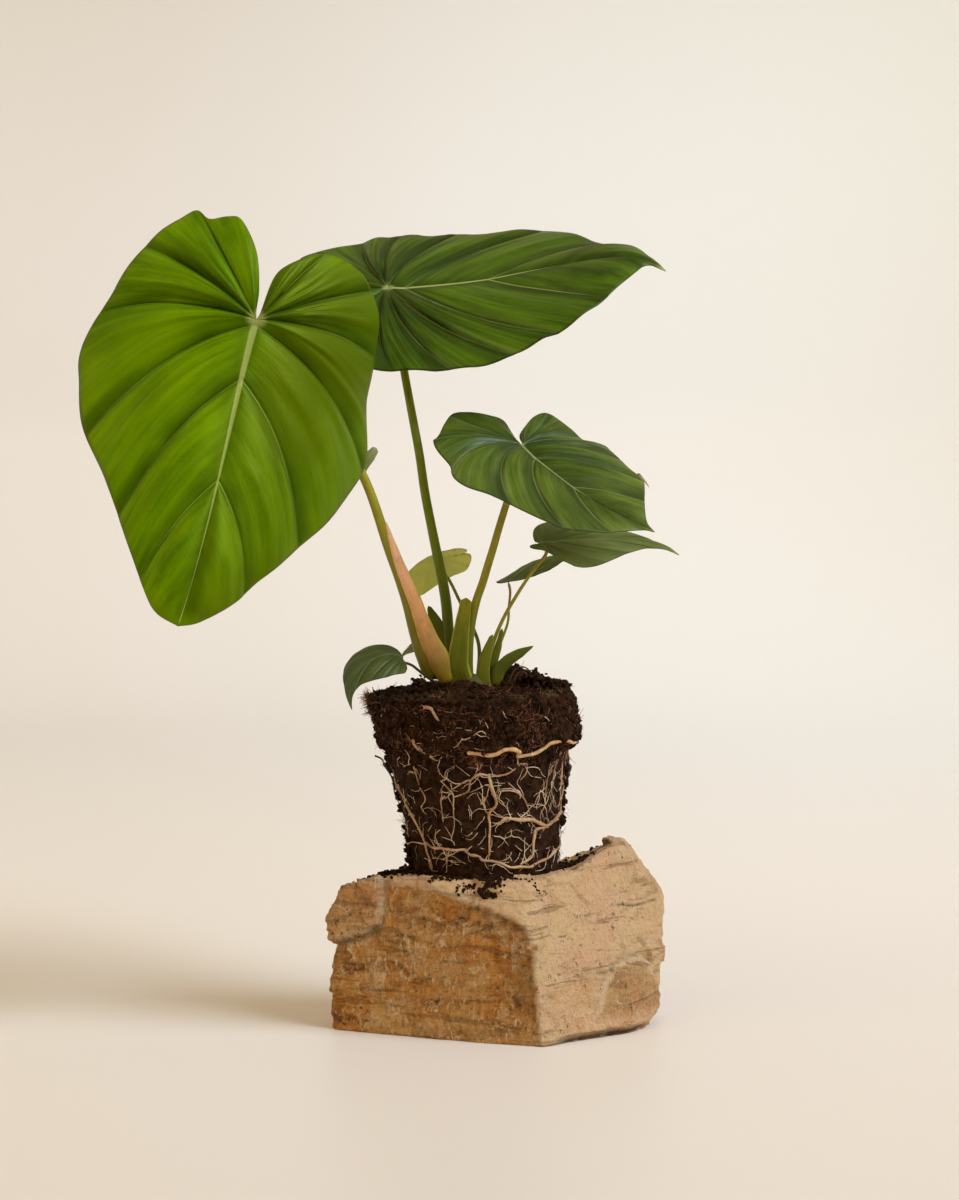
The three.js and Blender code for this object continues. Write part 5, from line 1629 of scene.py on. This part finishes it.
@dataclass
class Studio:
    """Floor and sweep, light, and the camera where the photographer stood."""

    floor_radius: float = 3.2
    wall_height: float = 1.9
    bend: float = 1.1
    camera_place: Point = (-0.00307, -1.6, 0.3)
    camera_pitch: float = 2.18
    lens: float = 86.0
    # Steps of the bend, and of the turn round the middle
    BEND_STEPS, SPIN_STEPS = 12, 96
    # Lamps: name, strength, width in degrees, colour, and the way to it from the plant
    LAMPS = (
        ("key", 2.6, 34, (0.92, 1.09, 1.29), (0.65, -0.39, 0.65)),
        ("fill", 0.9, 60, (1.0, 0.77, 0.43), (-0.6, -0.6, 0.5)),
    )
    SURROUNDINGS = (1.0, 0.75, 0.42, 1.0)
    SURROUNDINGS_STRENGTH = 0.42

    def build(self) -> None:
        """Makes the sweep, the lights and the camera."""
        self.build_sweep()
        self.build_lights()
        self.build_camera()

    def build_sweep(self) -> None:
        """A round floor whose edge bends up into a wall, so that no line shows behind the part."""
        bm = bmesh.new()
        profile = [(0.0, 0.0), (self.floor_radius - self.bend, 0.0)]
        for step in range(1, self.BEND_STEPS + 1):
            angle = math.pi / 2 * step / self.BEND_STEPS
            out = self.floor_radius - self.bend + self.bend * math.sin(angle)
            profile.append((out, self.bend * (1 - math.cos(angle))))
        profile.append((self.floor_radius, self.wall_height))
        verts = [bm.verts.new((out, 0.0, up)) for out, up in profile]
        edges = [bm.edges.new(pair) for pair in zip(verts[:-1], verts[1:])]
        bmesh.ops.spin(
            bm, geom=verts + edges, cent=(0, 0, 0), axis=(0, 0, 1), angle=2 * math.pi,
            steps=self.SPIN_STEPS, use_merge=True,
        )
        bmesh.ops.remove_doubles(bm, verts=bm.verts, dist=1e-4)
        bmesh.ops.recalc_face_normals(bm, faces=bm.faces)
        if sum(face.normal.z for face in bm.faces) < 0:
            bmesh.ops.reverse_faces(bm, faces=bm.faces)
        mesh = bpy.data.meshes.new("sweep")
        bm.to_mesh(mesh)
        bm.free()
        mesh.polygons.foreach_set("use_smooth", [True] * len(mesh.polygons))
        mesh.materials.append(StudioFinish().build("paper"))
        sweep = bpy.data.objects.new("sweep", mesh)
        bpy.context.scene.collection.objects.link(sweep)

    def build_lights(self) -> None:
        """A soft key from the front right, a weak fill from the left, and pale surroundings."""
        for name, strength, width, colour, towards in self.LAMPS:
            light = bpy.data.lights.new(name, "SUN")
            light.energy, light.angle, light.color = strength, math.radians(width), colour
            self._aim(light, name, towards)
        world = bpy.data.worlds.new("surroundings")
        world.use_nodes = True
        background = world.node_tree.nodes["Background"]
        background.inputs["Color"].default_value = self.SURROUNDINGS
        background.inputs["Strength"].default_value = self.SURROUNDINGS_STRENGTH
        bpy.context.scene.world = world
        bpy.context.scene.view_settings.view_transform = "Standard"

    @staticmethod
    def _aim(light: bpy.types.Light, name: str, towards: Point) -> None:
        """Places a light so that it shines from a direction onto the part."""
        lamp = bpy.data.objects.new(name, light)
        lamp.location = Vector(towards) * 2
        lamp.rotation_euler = Vector(towards).to_track_quat("Z", "Y").to_euler()
        bpy.context.scene.collection.objects.link(lamp)

    def build_camera(self) -> None:
        """The camera, level but for a slight look down."""
        lens = bpy.data.cameras.new("camera")
        lens.lens = self.lens
        lens.sensor_width = 36.0
        camera = bpy.data.objects.new("camera", lens)
        camera.location = self.camera_place
        camera.rotation_euler = (math.radians(90 - self.camera_pitch), 0.0, 0.0)
        bpy.context.scene.collection.objects.link(camera)
        bpy.context.scene.camera = camera


# The plant


BRIGHT = LeafFinish(
    deep=(0.048, 0.107, 0.0), light=(0.152, 0.262, 0.0), vein=(0.27, 0.3, 0.08),
    margin=(0.13, 0.16, 0.01), roughness=0.4, rib_width=0.55, midrib_width=2.5, stripes=0.6,
    rib_share=0.65, painted_sheen=0.12, gloss=0.45, shade=1.0, tip=(0.1, 0.17, 0.0), gloss_tint=(0.45, 0.6, 0.0),
    specks=0.0, left_shade_share=0.85, left_shade_tone=(0.07, 0.1, 0.0),
)
DARK = LeafFinish(
    deep=(0.014, 0.037, 0.0), light=(0.087, 0.166, 0.002), vein=(0.32, 0.38, 0.12),
    margin=(0.02, 0.02, 0.004), roughness=0.42, rib_width=0.8, midrib_width=1.5, stripes=0.7,
    rib_share=0.6, painted_sheen=0.3, gloss=0.35, shade=0.9, tip=(0.42, 0.44, 0.14), gloss_tint=(0.6, 0.8, 0.35),
)
MID = LeafFinish(
    deep=(0.022, 0.044, 0.002), light=(0.128, 0.187, 0.014), vein=(0.3, 0.35, 0.13),
    margin=(0.03, 0.04, 0.01), roughness=0.42, rib_width=1.0, midrib_width=1.1, stripes=0.6,
    rib_share=0.5, painted_sheen=0.5, gloss=0.5, shade=0.8, tip=(0.13, 0.15, 0.03), gloss_tint=(0.75, 0.9, 0.65),
)
GREY = LeafFinish(
    deep=(0.045, 0.062, 0.008), light=(0.14, 0.172, 0.052), vein=(0.14, 0.18, 0.07),
    margin=(0.03, 0.04, 0.01), roughness=0.46, rib_width=0.4, midrib_width=0.6, stripes=0.6,
    rib_share=0.3, painted_sheen=0.2, gloss=0.35, shade=0.5, tip=(0.05, 0.08, 0.01),
)
# Partly painted light: the low leaf's grey-green is lightened to make up for the shade that the right leaf
# casts on it
LOW_PAINTED_LIGHT = LeafFinish(
    deep=(0.11, 0.135, 0.022), light=(0.25, 0.28, 0.08), vein=(0.3, 0.34, 0.16),
    margin=(0.07, 0.09, 0.03), roughness=0.46, rib_width=0.5, midrib_width=0.8, stripes=0.5,
    rib_share=0.4, painted_sheen=0.2, gloss=0.2, shade=0.5, tip=(0.36, 0.33, 0.12),
)
# Painted light: lightened to make up for the shade that the leaves above cast on the narrow leaf
DIM_PAINTED_LIGHT = LeafFinish(
    deep=(0.1, 0.15, 0.008), light=(0.2, 0.26, 0.03), vein=(0.2, 0.24, 0.06), margin=(0.03, 0.04, 0.01),
    roughness=0.5, rib_width=0.4, midrib_width=0.6, stripes=0.5, rib_share=0.4, painted_sheen=0.2, gloss=0.1,
    shade=0.4, tip=(0.1, 0.12, 0.02),
)
# Painted light: the leaf behind, seen from below, is made pale and bright to stand in for light shining
# through it
PAINTED_BACKLIGHT = LeafFinish(
    deep=(0.42, 0.5, 0.09), light=(0.8, 0.83, 0.2), vein=(0.6, 0.64, 0.24), margin=(0.3, 0.28, 0.04),
    roughness=0.5, rib_width=0.4, midrib_width=0.7, stripes=0.5, rib_share=0.4, painted_sheen=0.2, gloss=0.2,
    shade=0.3, tip=(0.5, 0.5, 0.1), gloss_tint=(0.8, 0.9, 0.7), specks=0.9,
)
# Painted light: lightened to make up for the shade that the sheath casts on this small leaf
HIDDEN_PAINTED_LIGHT = LeafFinish(
    deep=(0.42, 0.47, 0.2), light=(0.72, 0.76, 0.42), vein=(0.45, 0.48, 0.28), margin=(0.2, 0.22, 0.1),
    roughness=0.5, rib_width=0.4, midrib_width=0.6, stripes=0.5, rib_share=0.4, painted_sheen=0.2, gloss=0.1,
    shade=0.3, tip=(0.35, 0.36, 0.2),
)

OLIVE = StemFinish(
    foot=(0.2, 0.16, 0.008), middle=(0.32, 0.28, 0.012), top=(0.22, 0.23, 0.01), streak=(0.36, 0.3, 0.06),
    edge=(0.2, 0.2, 0.01),
)
GREEN = StemFinish(
    foot=(0.09, 0.12, 0.003), middle=(0.18, 0.24, 0.006), top=(0.32, 0.34, 0.012),
    streak=(0.05, 0.06, 0.002), edge=(0.16, 0.18, 0.01),
)
TAN_GREEN = StemFinish(
    foot=(0.16, 0.19, 0.006), middle=(0.36, 0.33, 0.02), top=(0.46, 0.37, 0.05),
    streak=(0.12, 0.11, 0.01), edge=(0.3, 0.26, 0.04),
)
WIRY = StemFinish(
    foot=(0.06, 0.035, 0.012), middle=(0.08, 0.045, 0.016), top=(0.09, 0.06, 0.02),
    streak=(0.03, 0.02, 0.008), edge=(0.09, 0.06, 0.02),
)

EVEN_RIBS = (0.0, 0.18, 0.35, 0.52, 0.68, 0.84, 1.0)

LEAVES = (
    LeafForm(
        name="leaf_large",
        midrib=((-122.6, -62, 391.3), (-133, -72, 352), (-142, -112, 281), (-159, -120, 230)),
        face_base=(-0.012, -0.958, 0.288), face_tip=(-0.054, -0.998, -0.035), rise=(-27, 3),
        droop=(31, 17), lobe_curl=0.45, half_width=85,
        left=(
            (-5, 1.2), (-27, 3), (-38, 10), (-50, 24), (-53, 38), (-48, 59), (-38, 70), (-22, 79),
            (-5, 81), (14, 83), (30, 89), (46, 94), (60, 92), (85, 78), (109, 60), (135, 39), (152, 27),
            (169, 11),
        ),
        right=(
            (-5, 1.2), (-18, 3.2), (-38, 10.5), (-55, 24), (-55, 32), (-51, 41), (-55, 49), (-49, 56),
            (-28, 71), (8, 83), (37, 90), (54, 87), (80, 78), (106, 59), (134, 41), (161, 23), (172, 13),
        ),
        ribs_left=(0, 0.08, 0.2, 0.32, 0.53, 0.735, 0.87, 1),
        ribs_right=(0, 0.16, 0.27, 0.405, 0.63, 0.78, 0.895, 1), quilting=6.6, finish=BRIGHT,
        slot="leaf_bright",
        stalk=(
            (-25, -5, 199.5), (-30, -5, 200), (-33.8, -7, 208), (-37.2, -9, 219), (-43.2, -11, 240),
            (-53.8, -13, 270), (-66.8, -14, 307), (-84, -22, 335), (-101, -34, 358), (-115, -46, 378),
        ),
        under_run=9, stalk_radii=(4.6, 4.6, 3.6, 3, 2.8, 2.6, 2.5, 2.4, 2.3, 2.3), stalk_finish=OLIVE,
        stalk_slot="stalk_olive", columns=32, half_rows=44, ripple=0.7,
    ),
    LeafForm(
        name="leaf_upper",
        midrib=((-55.8, 42.1, 415.2), (18.3, 39.6, 415.1), (73.7, 22.8, 442.9), (101.8, 19.4, 423.6)),
        face_base=(0, -0.623, 0.782), face_tip=(0.08, -0.487, 0.87), rise=(-12, 3), droop=(-1, 14),
        lobe_curl=-0.12, half_width=75,
        left=(
            (-8, 0.6), (-30, 2.5), (-49, 17), (-52, 43), (-28, 62), (0, 79), (39, 79), (71, 73),
            (100, 42), (112, 32), (124, 29), (132, 24), (139, 17), (149, 8), (157, 2.5),
        ),
        right=(
            (-8, 0.6), (-30, 2.5), (-50, 17), (-49, 43), (-27, 65), (9, 74), (46, 79), (73, 71), (94, 64),
            (119, 46), (132, 31), (138, 18), (142, 7), (148, 2.5), (157, 1.5),
        ),
        ribs_left=(0, 0.14, 0.3, 0.38, 0.46, 0.6, 0.78, 1),
        ribs_right=(0, 0.2, 0.37, 0.45, 0.55, 0.64, 0.78, 1), quilting=5.0, finish=DARK, slot="leaf_dark",
        stalk=(
            (-17, 0, 194), (-18, 2, 202), (-20.2, 5, 219.3), (-22, 7, 239), (-33, 12, 295),
            (-37.4, 18, 323), (-45.8, 30, 368),
        ),
        under_run=14, stalk_radii=(3.2, 3.1, 2.9, 2.6, 2.5, 2.4, 2.3), stalk_finish=GREEN,
        stalk_slot="stalk_green", columns=32, half_rows=44, ripple=0.6,
    ),
    LeafForm(
        name="leaf_right",
        midrib=((20.5, -8, 324.9), (25.4, -25.9, 317.5), (65.2, -51.1, 286.1), (90.8, -66, 278)),
        face_base=(0.121, -0.718, 0.685), face_tip=(0.151, -0.737, 0.659), rise=(3, 14), droop=(33, 13),
        lobe_curl=-0.6, half_width=50,
        left=(
            (-4, 1), (-13, 2), (-22, 8), (-31, 16), (-34, 25), (-26, 34), (-14, 43), (5, 52), (26, 51),
            (48, 45), (60, 41), (68, 39), (77, 28), (88, 13), (96, 4),
        ),
        right=(
            (-4, 1), (-17, 2), (-27, 4), (-30, 12), (-31, 22), (-29, 33), (-20, 40), (-8, 46), (1, 51.5),
            (12, 49.5), (19, 53), (26, 52), (36, 45), (50, 40), (69, 34), (80, 25), (90, 13), (97, 3),
        ),
        ribs_left=(0, 0.13, 0.24, 0.42, 0.6, 0.73, 0.85, 1),
        ribs_right=(0, 0.2, 0.34, 0.45, 0.62, 0.76, 0.88, 1), quilting=3.2, finish=MID, slot="leaf_dark",
        stalk=(
            (-9, -4, 194), (-9.6, -5, 204), (-8.2, -6, 222.6), (-4.6, -7, 239.4), (-1.2, -7, 249.4),
            (5, -6, 270), (11.6, -4, 292),
        ),
        under_run=9, stalk_radii=(3, 2.9, 2.4, 2.3, 2.2, 2.1, 2), stalk_finish=TAN_GREEN,
        stalk_slot="stalk_olive", columns=28, half_rows=40, ripple=0.2,
    ),
    LeafForm(
        name="leaf_low", midrib=((31.4, 6, 270.8), (52, 3, 272.5), (88, -6, 276.5), (107.4, -13, 264.5)),
        face_base=(0, -0.442, 0.897), face_tip=(0.033, -0.38, 0.92), rise=(6, 3), droop=(10, 33),
        lobe_curl=0, half_width=25,
        left=(
            (-2, 0.9), (-4, 3), (-5, 8), (-5, 16), (-2, 22), (5, 25), (15, 23), (28, 17), (40, 12),
            (52, 8), (63, 3.5), (73, 1.6),
        ),
        right=(
            (-2, 0.9), (-5, 1.7), (-6, 4), (-3, 6.5), (3, 9), (11, 15), (19, 21), (29, 25), (41, 22),
            (53, 13), (63, 5), (73, 1.6),
        ),
        ribs_left=EVEN_RIBS, ribs_right=EVEN_RIBS, quilting=1.0, finish=LOW_PAINTED_LIGHT, slot="leaf_grey",
        stalk=(
            (1, -3.5, 190), (1.5, -3, 201), (3.5, -3, 211.3), (7.3, -2.5, 222.4), (12.7, -2, 233.5),
            (24.9, 0, 252.9),
        ),
        under_run=6, stalk_radii=(1.5, 1.3, 1.1, 1, 1, 0.95), stalk_finish=TAN_GREEN,
        stalk_slot="stalk_olive",
    ),
    LeafForm(
        name="leaf_narrow",
        midrib=((10.1, 17, 248.2), (29, 20.8, 252.2), (37.4, 27.1, 261.4), (59.7, 33, 267.8)),
        face_base=(0.002, -0.023, 1), face_tip=(0.018, -0.206, 0.978), rise=(5, 8), droop=(10, 7),
        lobe_curl=0, half_width=18,
        left=(
            (-1, 0.8), (-2.5, 4), (-1, 10), (5, 17), (13, 20), (24, 20), (33, 14), (40, 8), (46, 4.5),
            (51, 1.4),
        ),
        right=(
            (-1, 0.8), (-2.7, 5), (-2, 11), (2, 15), (8, 16), (16, 14.5), (26, 13.5), (34, 10), (40, 7),
            (50, 1.6),
        ),
        ribs_left=EVEN_RIBS, ribs_right=EVEN_RIBS, quilting=0.4, finish=DIM_PAINTED_LIGHT, slot="leaf_dark",
        stalk=((3.5, 0.5, 190), (4.5, 2.5, 205), (9, 6, 215.5), (12.9, 9, 226.5), (13.4, 12, 234)),
        under_run=5, stalk_radii=(1.1, 1, 0.85, 0.75, 0.7), stalk_finish=TAN_GREEN,
        stalk_slot="stalk_olive", columns=14, half_rows=18,
    ),
    LeafForm(
        name="leaf_behind",
        midrib=((-25, 28, 260.3), (-31, 29.5, 257.5), (-41, 31.5, 249), (-46.5, 32, 239.5)),
        face_base=(-0.079, 0.616, 0.784), face_tip=(-0.041, 0.877, 0.478), rise=(-2, 8), droop=(24, 12),
        lobe_curl=0.33, half_width=14,
        left=(
            (-3, 0.2), (-9, 0.3), (-15, 0.5), (-17.5, 3), (-15, 6.3), (-9, 8), (2, 9), (13, 8.7), (22, 7),
            (27, 3.5), (29, 1.5),
        ),
        right=(
            (-3, 0.2), (-9, 0.3), (-15, 0.5), (-17, 3), (-15, 8.5), (-10, 14.8), (-5, 17), (7, 15.2),
            (14, 12.8), (20, 11), (25, 8.5), (28.5, 3),
        ),
        ribs_left=EVEN_RIBS, ribs_right=EVEN_RIBS, quilting=0.5, finish=PAINTED_BACKLIGHT, slot="leaf_pale",
        stalk=(
            (-5, 1, 190), (-3.5, 6, 200), (-3.4, 10.5, 213), (-6.2, 13, 221.7), (-14.6, 18, 238.4),
            (-20.5, 22, 250),
        ),
        under_run=4, stalk_radii=(1.4, 1.2, 1.05, 1, 0.95, 0.9), stalk_finish=GREEN,
        stalk_slot="stalk_green", columns=14, half_rows=18,
    ),
    LeafForm(
        name="leaf_drooping",
        midrib=((-46.3, -22, 208.4), (-51, -27.5, 214), (-80, -36, 206), (-72.8, -36.1, 180.3)),
        face_base=(-0.071, -0.617, 0.783), face_tip=(-0.507, -0.838, 0.201), rise=(10, 0), droop=(16, 32),
        lobe_curl=0.27, half_width=12,
        left=(
            (-1.5, 0.8), (-2.5, 3), (-2.5, 7), (0, 12), (6, 15.5), (14, 16), (25, 15), (34, 11), (41, 5),
            (46, 2),
        ),
        right=(
            (-1.5, 0.8), (-3.5, 3), (-2.5, 6.5), (0, 10), (4, 12), (8, 15), (15, 16.5), (25, 15),
            (34, 11), (41, 5), (46, 2),
        ),
        ribs_left=EVEN_RIBS, ribs_right=EVEN_RIBS, quilting=0.6, finish=GREY, slot="leaf_grey",
        stalk=((-19, -6, 193.5), (-27, -9, 193.5), (-31, -12, 196), (-36, -15, 200), (-41, -18, 204)),
        under_run=3, stalk_radii=(1, 0.85, 0.8, 0.75, 0.75), stalk_finish=WIRY, stalk_slot="stem_brown",
        columns=16, half_rows=22,
    ),
    LeafForm(
        name="leaf_hidden",
        midrib=((-26.5, 16, 214.5), (-32, 17.5, 216), (-42, 19, 212), (-48, 20, 205.5)),
        face_base=(-0.1, 0.62, 0.78), face_tip=(-0.2, 0.8, 0.55), rise=(0, 4), droop=(18, 18),
        lobe_curl=0.1, half_width=7,
        left=((-1.5, 0.7), (-4, 2), (-5, 5), (-1, 7), (6, 7.2), (13, 4.8), (19, 2)),
        right=((-1.5, 0.7), (-4, 2), (-5, 5), (-1, 7), (6, 7.2), (13, 4.8), (19, 2)), ribs_left=EVEN_RIBS,
        ribs_right=EVEN_RIBS, quilting=0.3, finish=HIDDEN_PAINTED_LIGHT, slot="leaf_pale",
        stalk=((-16, 2, 192), (-19.5, 8, 197), (-22, 11, 203), (-24.5, 13, 209)), under_run=2.5,
        stalk_radii=(1.1, 0.9, 0.8, 0.75), stalk_finish=GREEN, stalk_slot="stalk_green", columns=10,
        half_rows=14,
    ),
)


@dataclass(frozen=True)
class Sheath:
    """A sheath or scale leaf that clasps the stalks."""

    name: str
    node: str
    tube: Tube
    finish: StemFinish
    slot: str


SALMON = StemFinish(
    foot=(0.29, 0.2, 0.014), middle=(0.84, 0.42, 0.19), top=(0.88, 0.5, 0.35), streak=(0.56, 0.34, 0.04),
    edge=(0.6, 0.52, 0.05), roughness=0.45, streak_share=0.5,
)
SHEATH_GREEN = StemFinish(
    foot=(0.13, 0.13, 0.003), middle=(0.15, 0.17, 0.002), top=(0.3, 0.31, 0.015),
    streak=(0.05, 0.07, 0.002), edge=(0.5, 0.5, 0.05),
)
SHEATH_OLIVE = StemFinish(
    foot=(0.13, 0.13, 0.004), middle=(0.19, 0.2, 0.006), top=(0.2, 0.2, 0.008),
    streak=(0.08, 0.09, 0.004), edge=(0.3, 0.27, 0.03),
)
SCALE_GREEN = StemFinish(
    foot=(0.12, 0.13, 0.005), middle=(0.13, 0.17, 0.006), top=(0.12, 0.16, 0.006),
    streak=(0.1, 0.13, 0.012), edge=(0.15, 0.17, 0.01),
)
SCALE_OLIVE = StemFinish(
    foot=(0.15, 0.16, 0.006), middle=(0.1, 0.12, 0.006), top=(0.08, 0.1, 0.006),
    streak=(0.12, 0.14, 0.02), edge=(0.16, 0.18, 0.03),
)
ROLL_GREY = StemFinish(
    foot=(0.14, 0.17, 0.03), middle=(0.17, 0.19, 0.05), top=(0.27, 0.27, 0.11), streak=(0.08, 0.1, 0.02),
    edge=(0.3, 0.3, 0.12),
)
CORNER_TAN = StemFinish(
    foot=(0.1, 0.12, 0.03), middle=(0.36, 0.27, 0.13), top=(0.45, 0.33, 0.18), streak=(0.2, 0.12, 0.04),
    edge=(0.4, 0.3, 0.15),
)
STEM_BROWN = StemFinish(
    foot=(0.16, 0.1, 0.015), middle=(0.11, 0.1, 0.008), top=(0.1, 0.12, 0.01),
    streak=(0.05, 0.035, 0.006), edge=(0.03, 0.03, 0.003), roughness=0.6,
)

SHEATHS = (
    Sheath(
        name="sheath_large", node="leaf_large_sheath",
        tube=Tube(
            path=(
                (-19.5, -8, 193), (-24.5, -9, 204), (-30.8, -12, 217), (-35.2, -15.5, 229),
                (-39, -18.5, 240), (-45.3, -21.5, 255), (-50.3, -23.5, 269), (-54.4, -25, 283),
            ),
            radii=(4.6, 6.6, 5.4, 4.2, 3.6, 3, 2, 0.5), thin=0.66, broad=(1, 0, 0), groove=0.06, sides=32,
            step=1.6,
        ),
        finish=SALMON, slot="sheath_salmon",
    ),
    Sheath(
        name="sheath_right", node="leaf_right_sheath",
        tube=Tube(
            path=(
                (-13, -7, 192), (-15, -9, 203), (-14, -10, 215), (-12.3, -10, 228), (-10.3, -10, 240.6),
            ),
            radii=(7.2, 6, 5, 4, 3), thin=0.62, broad=(1, 0, 0), groove=0.25, sides=32, step=1.6,
        ),
        finish=SHEATH_GREEN, slot="stalk_green",
    ),
    Sheath(
        name="sheath_low", node="leaf_low_sheath",
        tube=Tube(
            path=((-1, -6, 191), (-0.8, -6, 203), (1.6, -6, 212), (4.2, -5.4, 220)),
            radii=(4.2, 3.7, 2.8, 1.2), thin=0.6, broad=(1, 0, 0), groove=0.2, sides=24, step=1.4,
        ),
        finish=SHEATH_OLIVE, slot="stalk_olive",
    ),
    Sheath(
        name="sheath_narrow", node="leaf_narrow_sheath",
        tube=Tube(
            path=((4.6, 0.5, 191), (5, 1.2, 204), (7.4, 2.6, 213), (9.6, 4, 223)),
            radii=(2.9, 2.5, 2.1, 0.8), thin=0.6, broad=(1, 0, 0), groove=0.2, sides=24, step=1.4,
        ),
        finish=SHEATH_OLIVE, slot="stalk_olive",
    ),
    Sheath(
        name="scale_left", node="scale_leaf_left",
        tube=Tube(
            path=(
                (-21.5, 3, 200), (-22.4, 4, 211), (-25, 5.5, 219.3), (-28.4, 6.5, 227.7),
                (-31.8, 7.5, 235.5),
            ),
            radii=(2.8, 3.2, 4.1, 3.6, 1), thin=0.4, broad=(1, 0, 0), groove=0.3, sides=24, step=1.4,
        ),
        finish=SCALE_GREEN, slot="leaf_dark",
    ),
    Sheath(
        name="scale_right", node="scale_leaf_right",
        tube=Tube(
            path=((6, -4, 191), (8, -4.5, 200), (12.8, -5, 205.5), (19, -5, 209.4), (27, -5, 213.6)),
            radii=(3, 3.6, 3.4, 2.6, 0.4), thin=0.4, broad=(-0.4, 0, 1), groove=0.3, sides=24, step=1.4,
        ),
        finish=SCALE_OLIVE, slot="stalk_green",
    ),
    Sheath(
        name="young_roll", node="young_leaf_roll",
        tube=Tube(
            path=((-69.5, -13, 308), (-67.5, -11.5, 313.5), (-63.5, -10, 319.5), (-60.2, -9, 323.8)),
            radii=(2.4, 3, 3.1, 2), thin=0.9, broad=None, groove=0.3, sides=24, step=1.0,
        ),
        finish=ROLL_GREY, slot="leaf_pale",
    ),
    Sheath(
        name="curled_corner", node="",
        tube=Tube(
            path=((82.5, -47, 309.5), (85.3, -49, 306.3), (87.5, -50, 303.6), (88.6, -50, 301.8)),
            radii=(1.1, 0.9, 0.6, 0.2), thin=0.5, broad=None, groove=0.3, sides=12, step=0.8,
        ),
        finish=CORNER_TAN, slot="leaf_pale",
    ),
    Sheath(
        name="creeping_stem", node="rhizome",
        tube=Tube(
            path=(
                (-29, -5, 201), (-22, -5, 198.5), (-13, -4, 194), (-5, -4, 191), (2, -3, 187.5),
                (8, -3, 184),
            ),
            radii=(4.2, 6, 7, 6.5, 5.6, 3.4), thin=1.0, broad=None, groove=0.0, sides=32, step=1.4,
            wobble=0.08,
        ),
        finish=STEM_BROWN, slot="stem_brown",
    ),
)


def main() -> None:
    """Builds the plant, the stone and the studio."""
    logging.basicConfig(level=logging.INFO, format="%(name)s: %(message)s")
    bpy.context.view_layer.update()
    Studio().build()
    stone_surface = Stone().build()
    shape = BallShape()
    ball = RootBall(shape)
    ball.build()
    RootWeb(shape).build()
    SoilSpill(stone_surface, ball.soil).build()
    for form in LEAVES:
        Leaf(form).build()
    for sheath in SHEATHS:
        sheath.tube.build(sheath.name, sheath.finish, sheath.slot, [sheath.node] if sheath.node else [])
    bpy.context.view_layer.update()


if __name__ == "__main__":
    main()
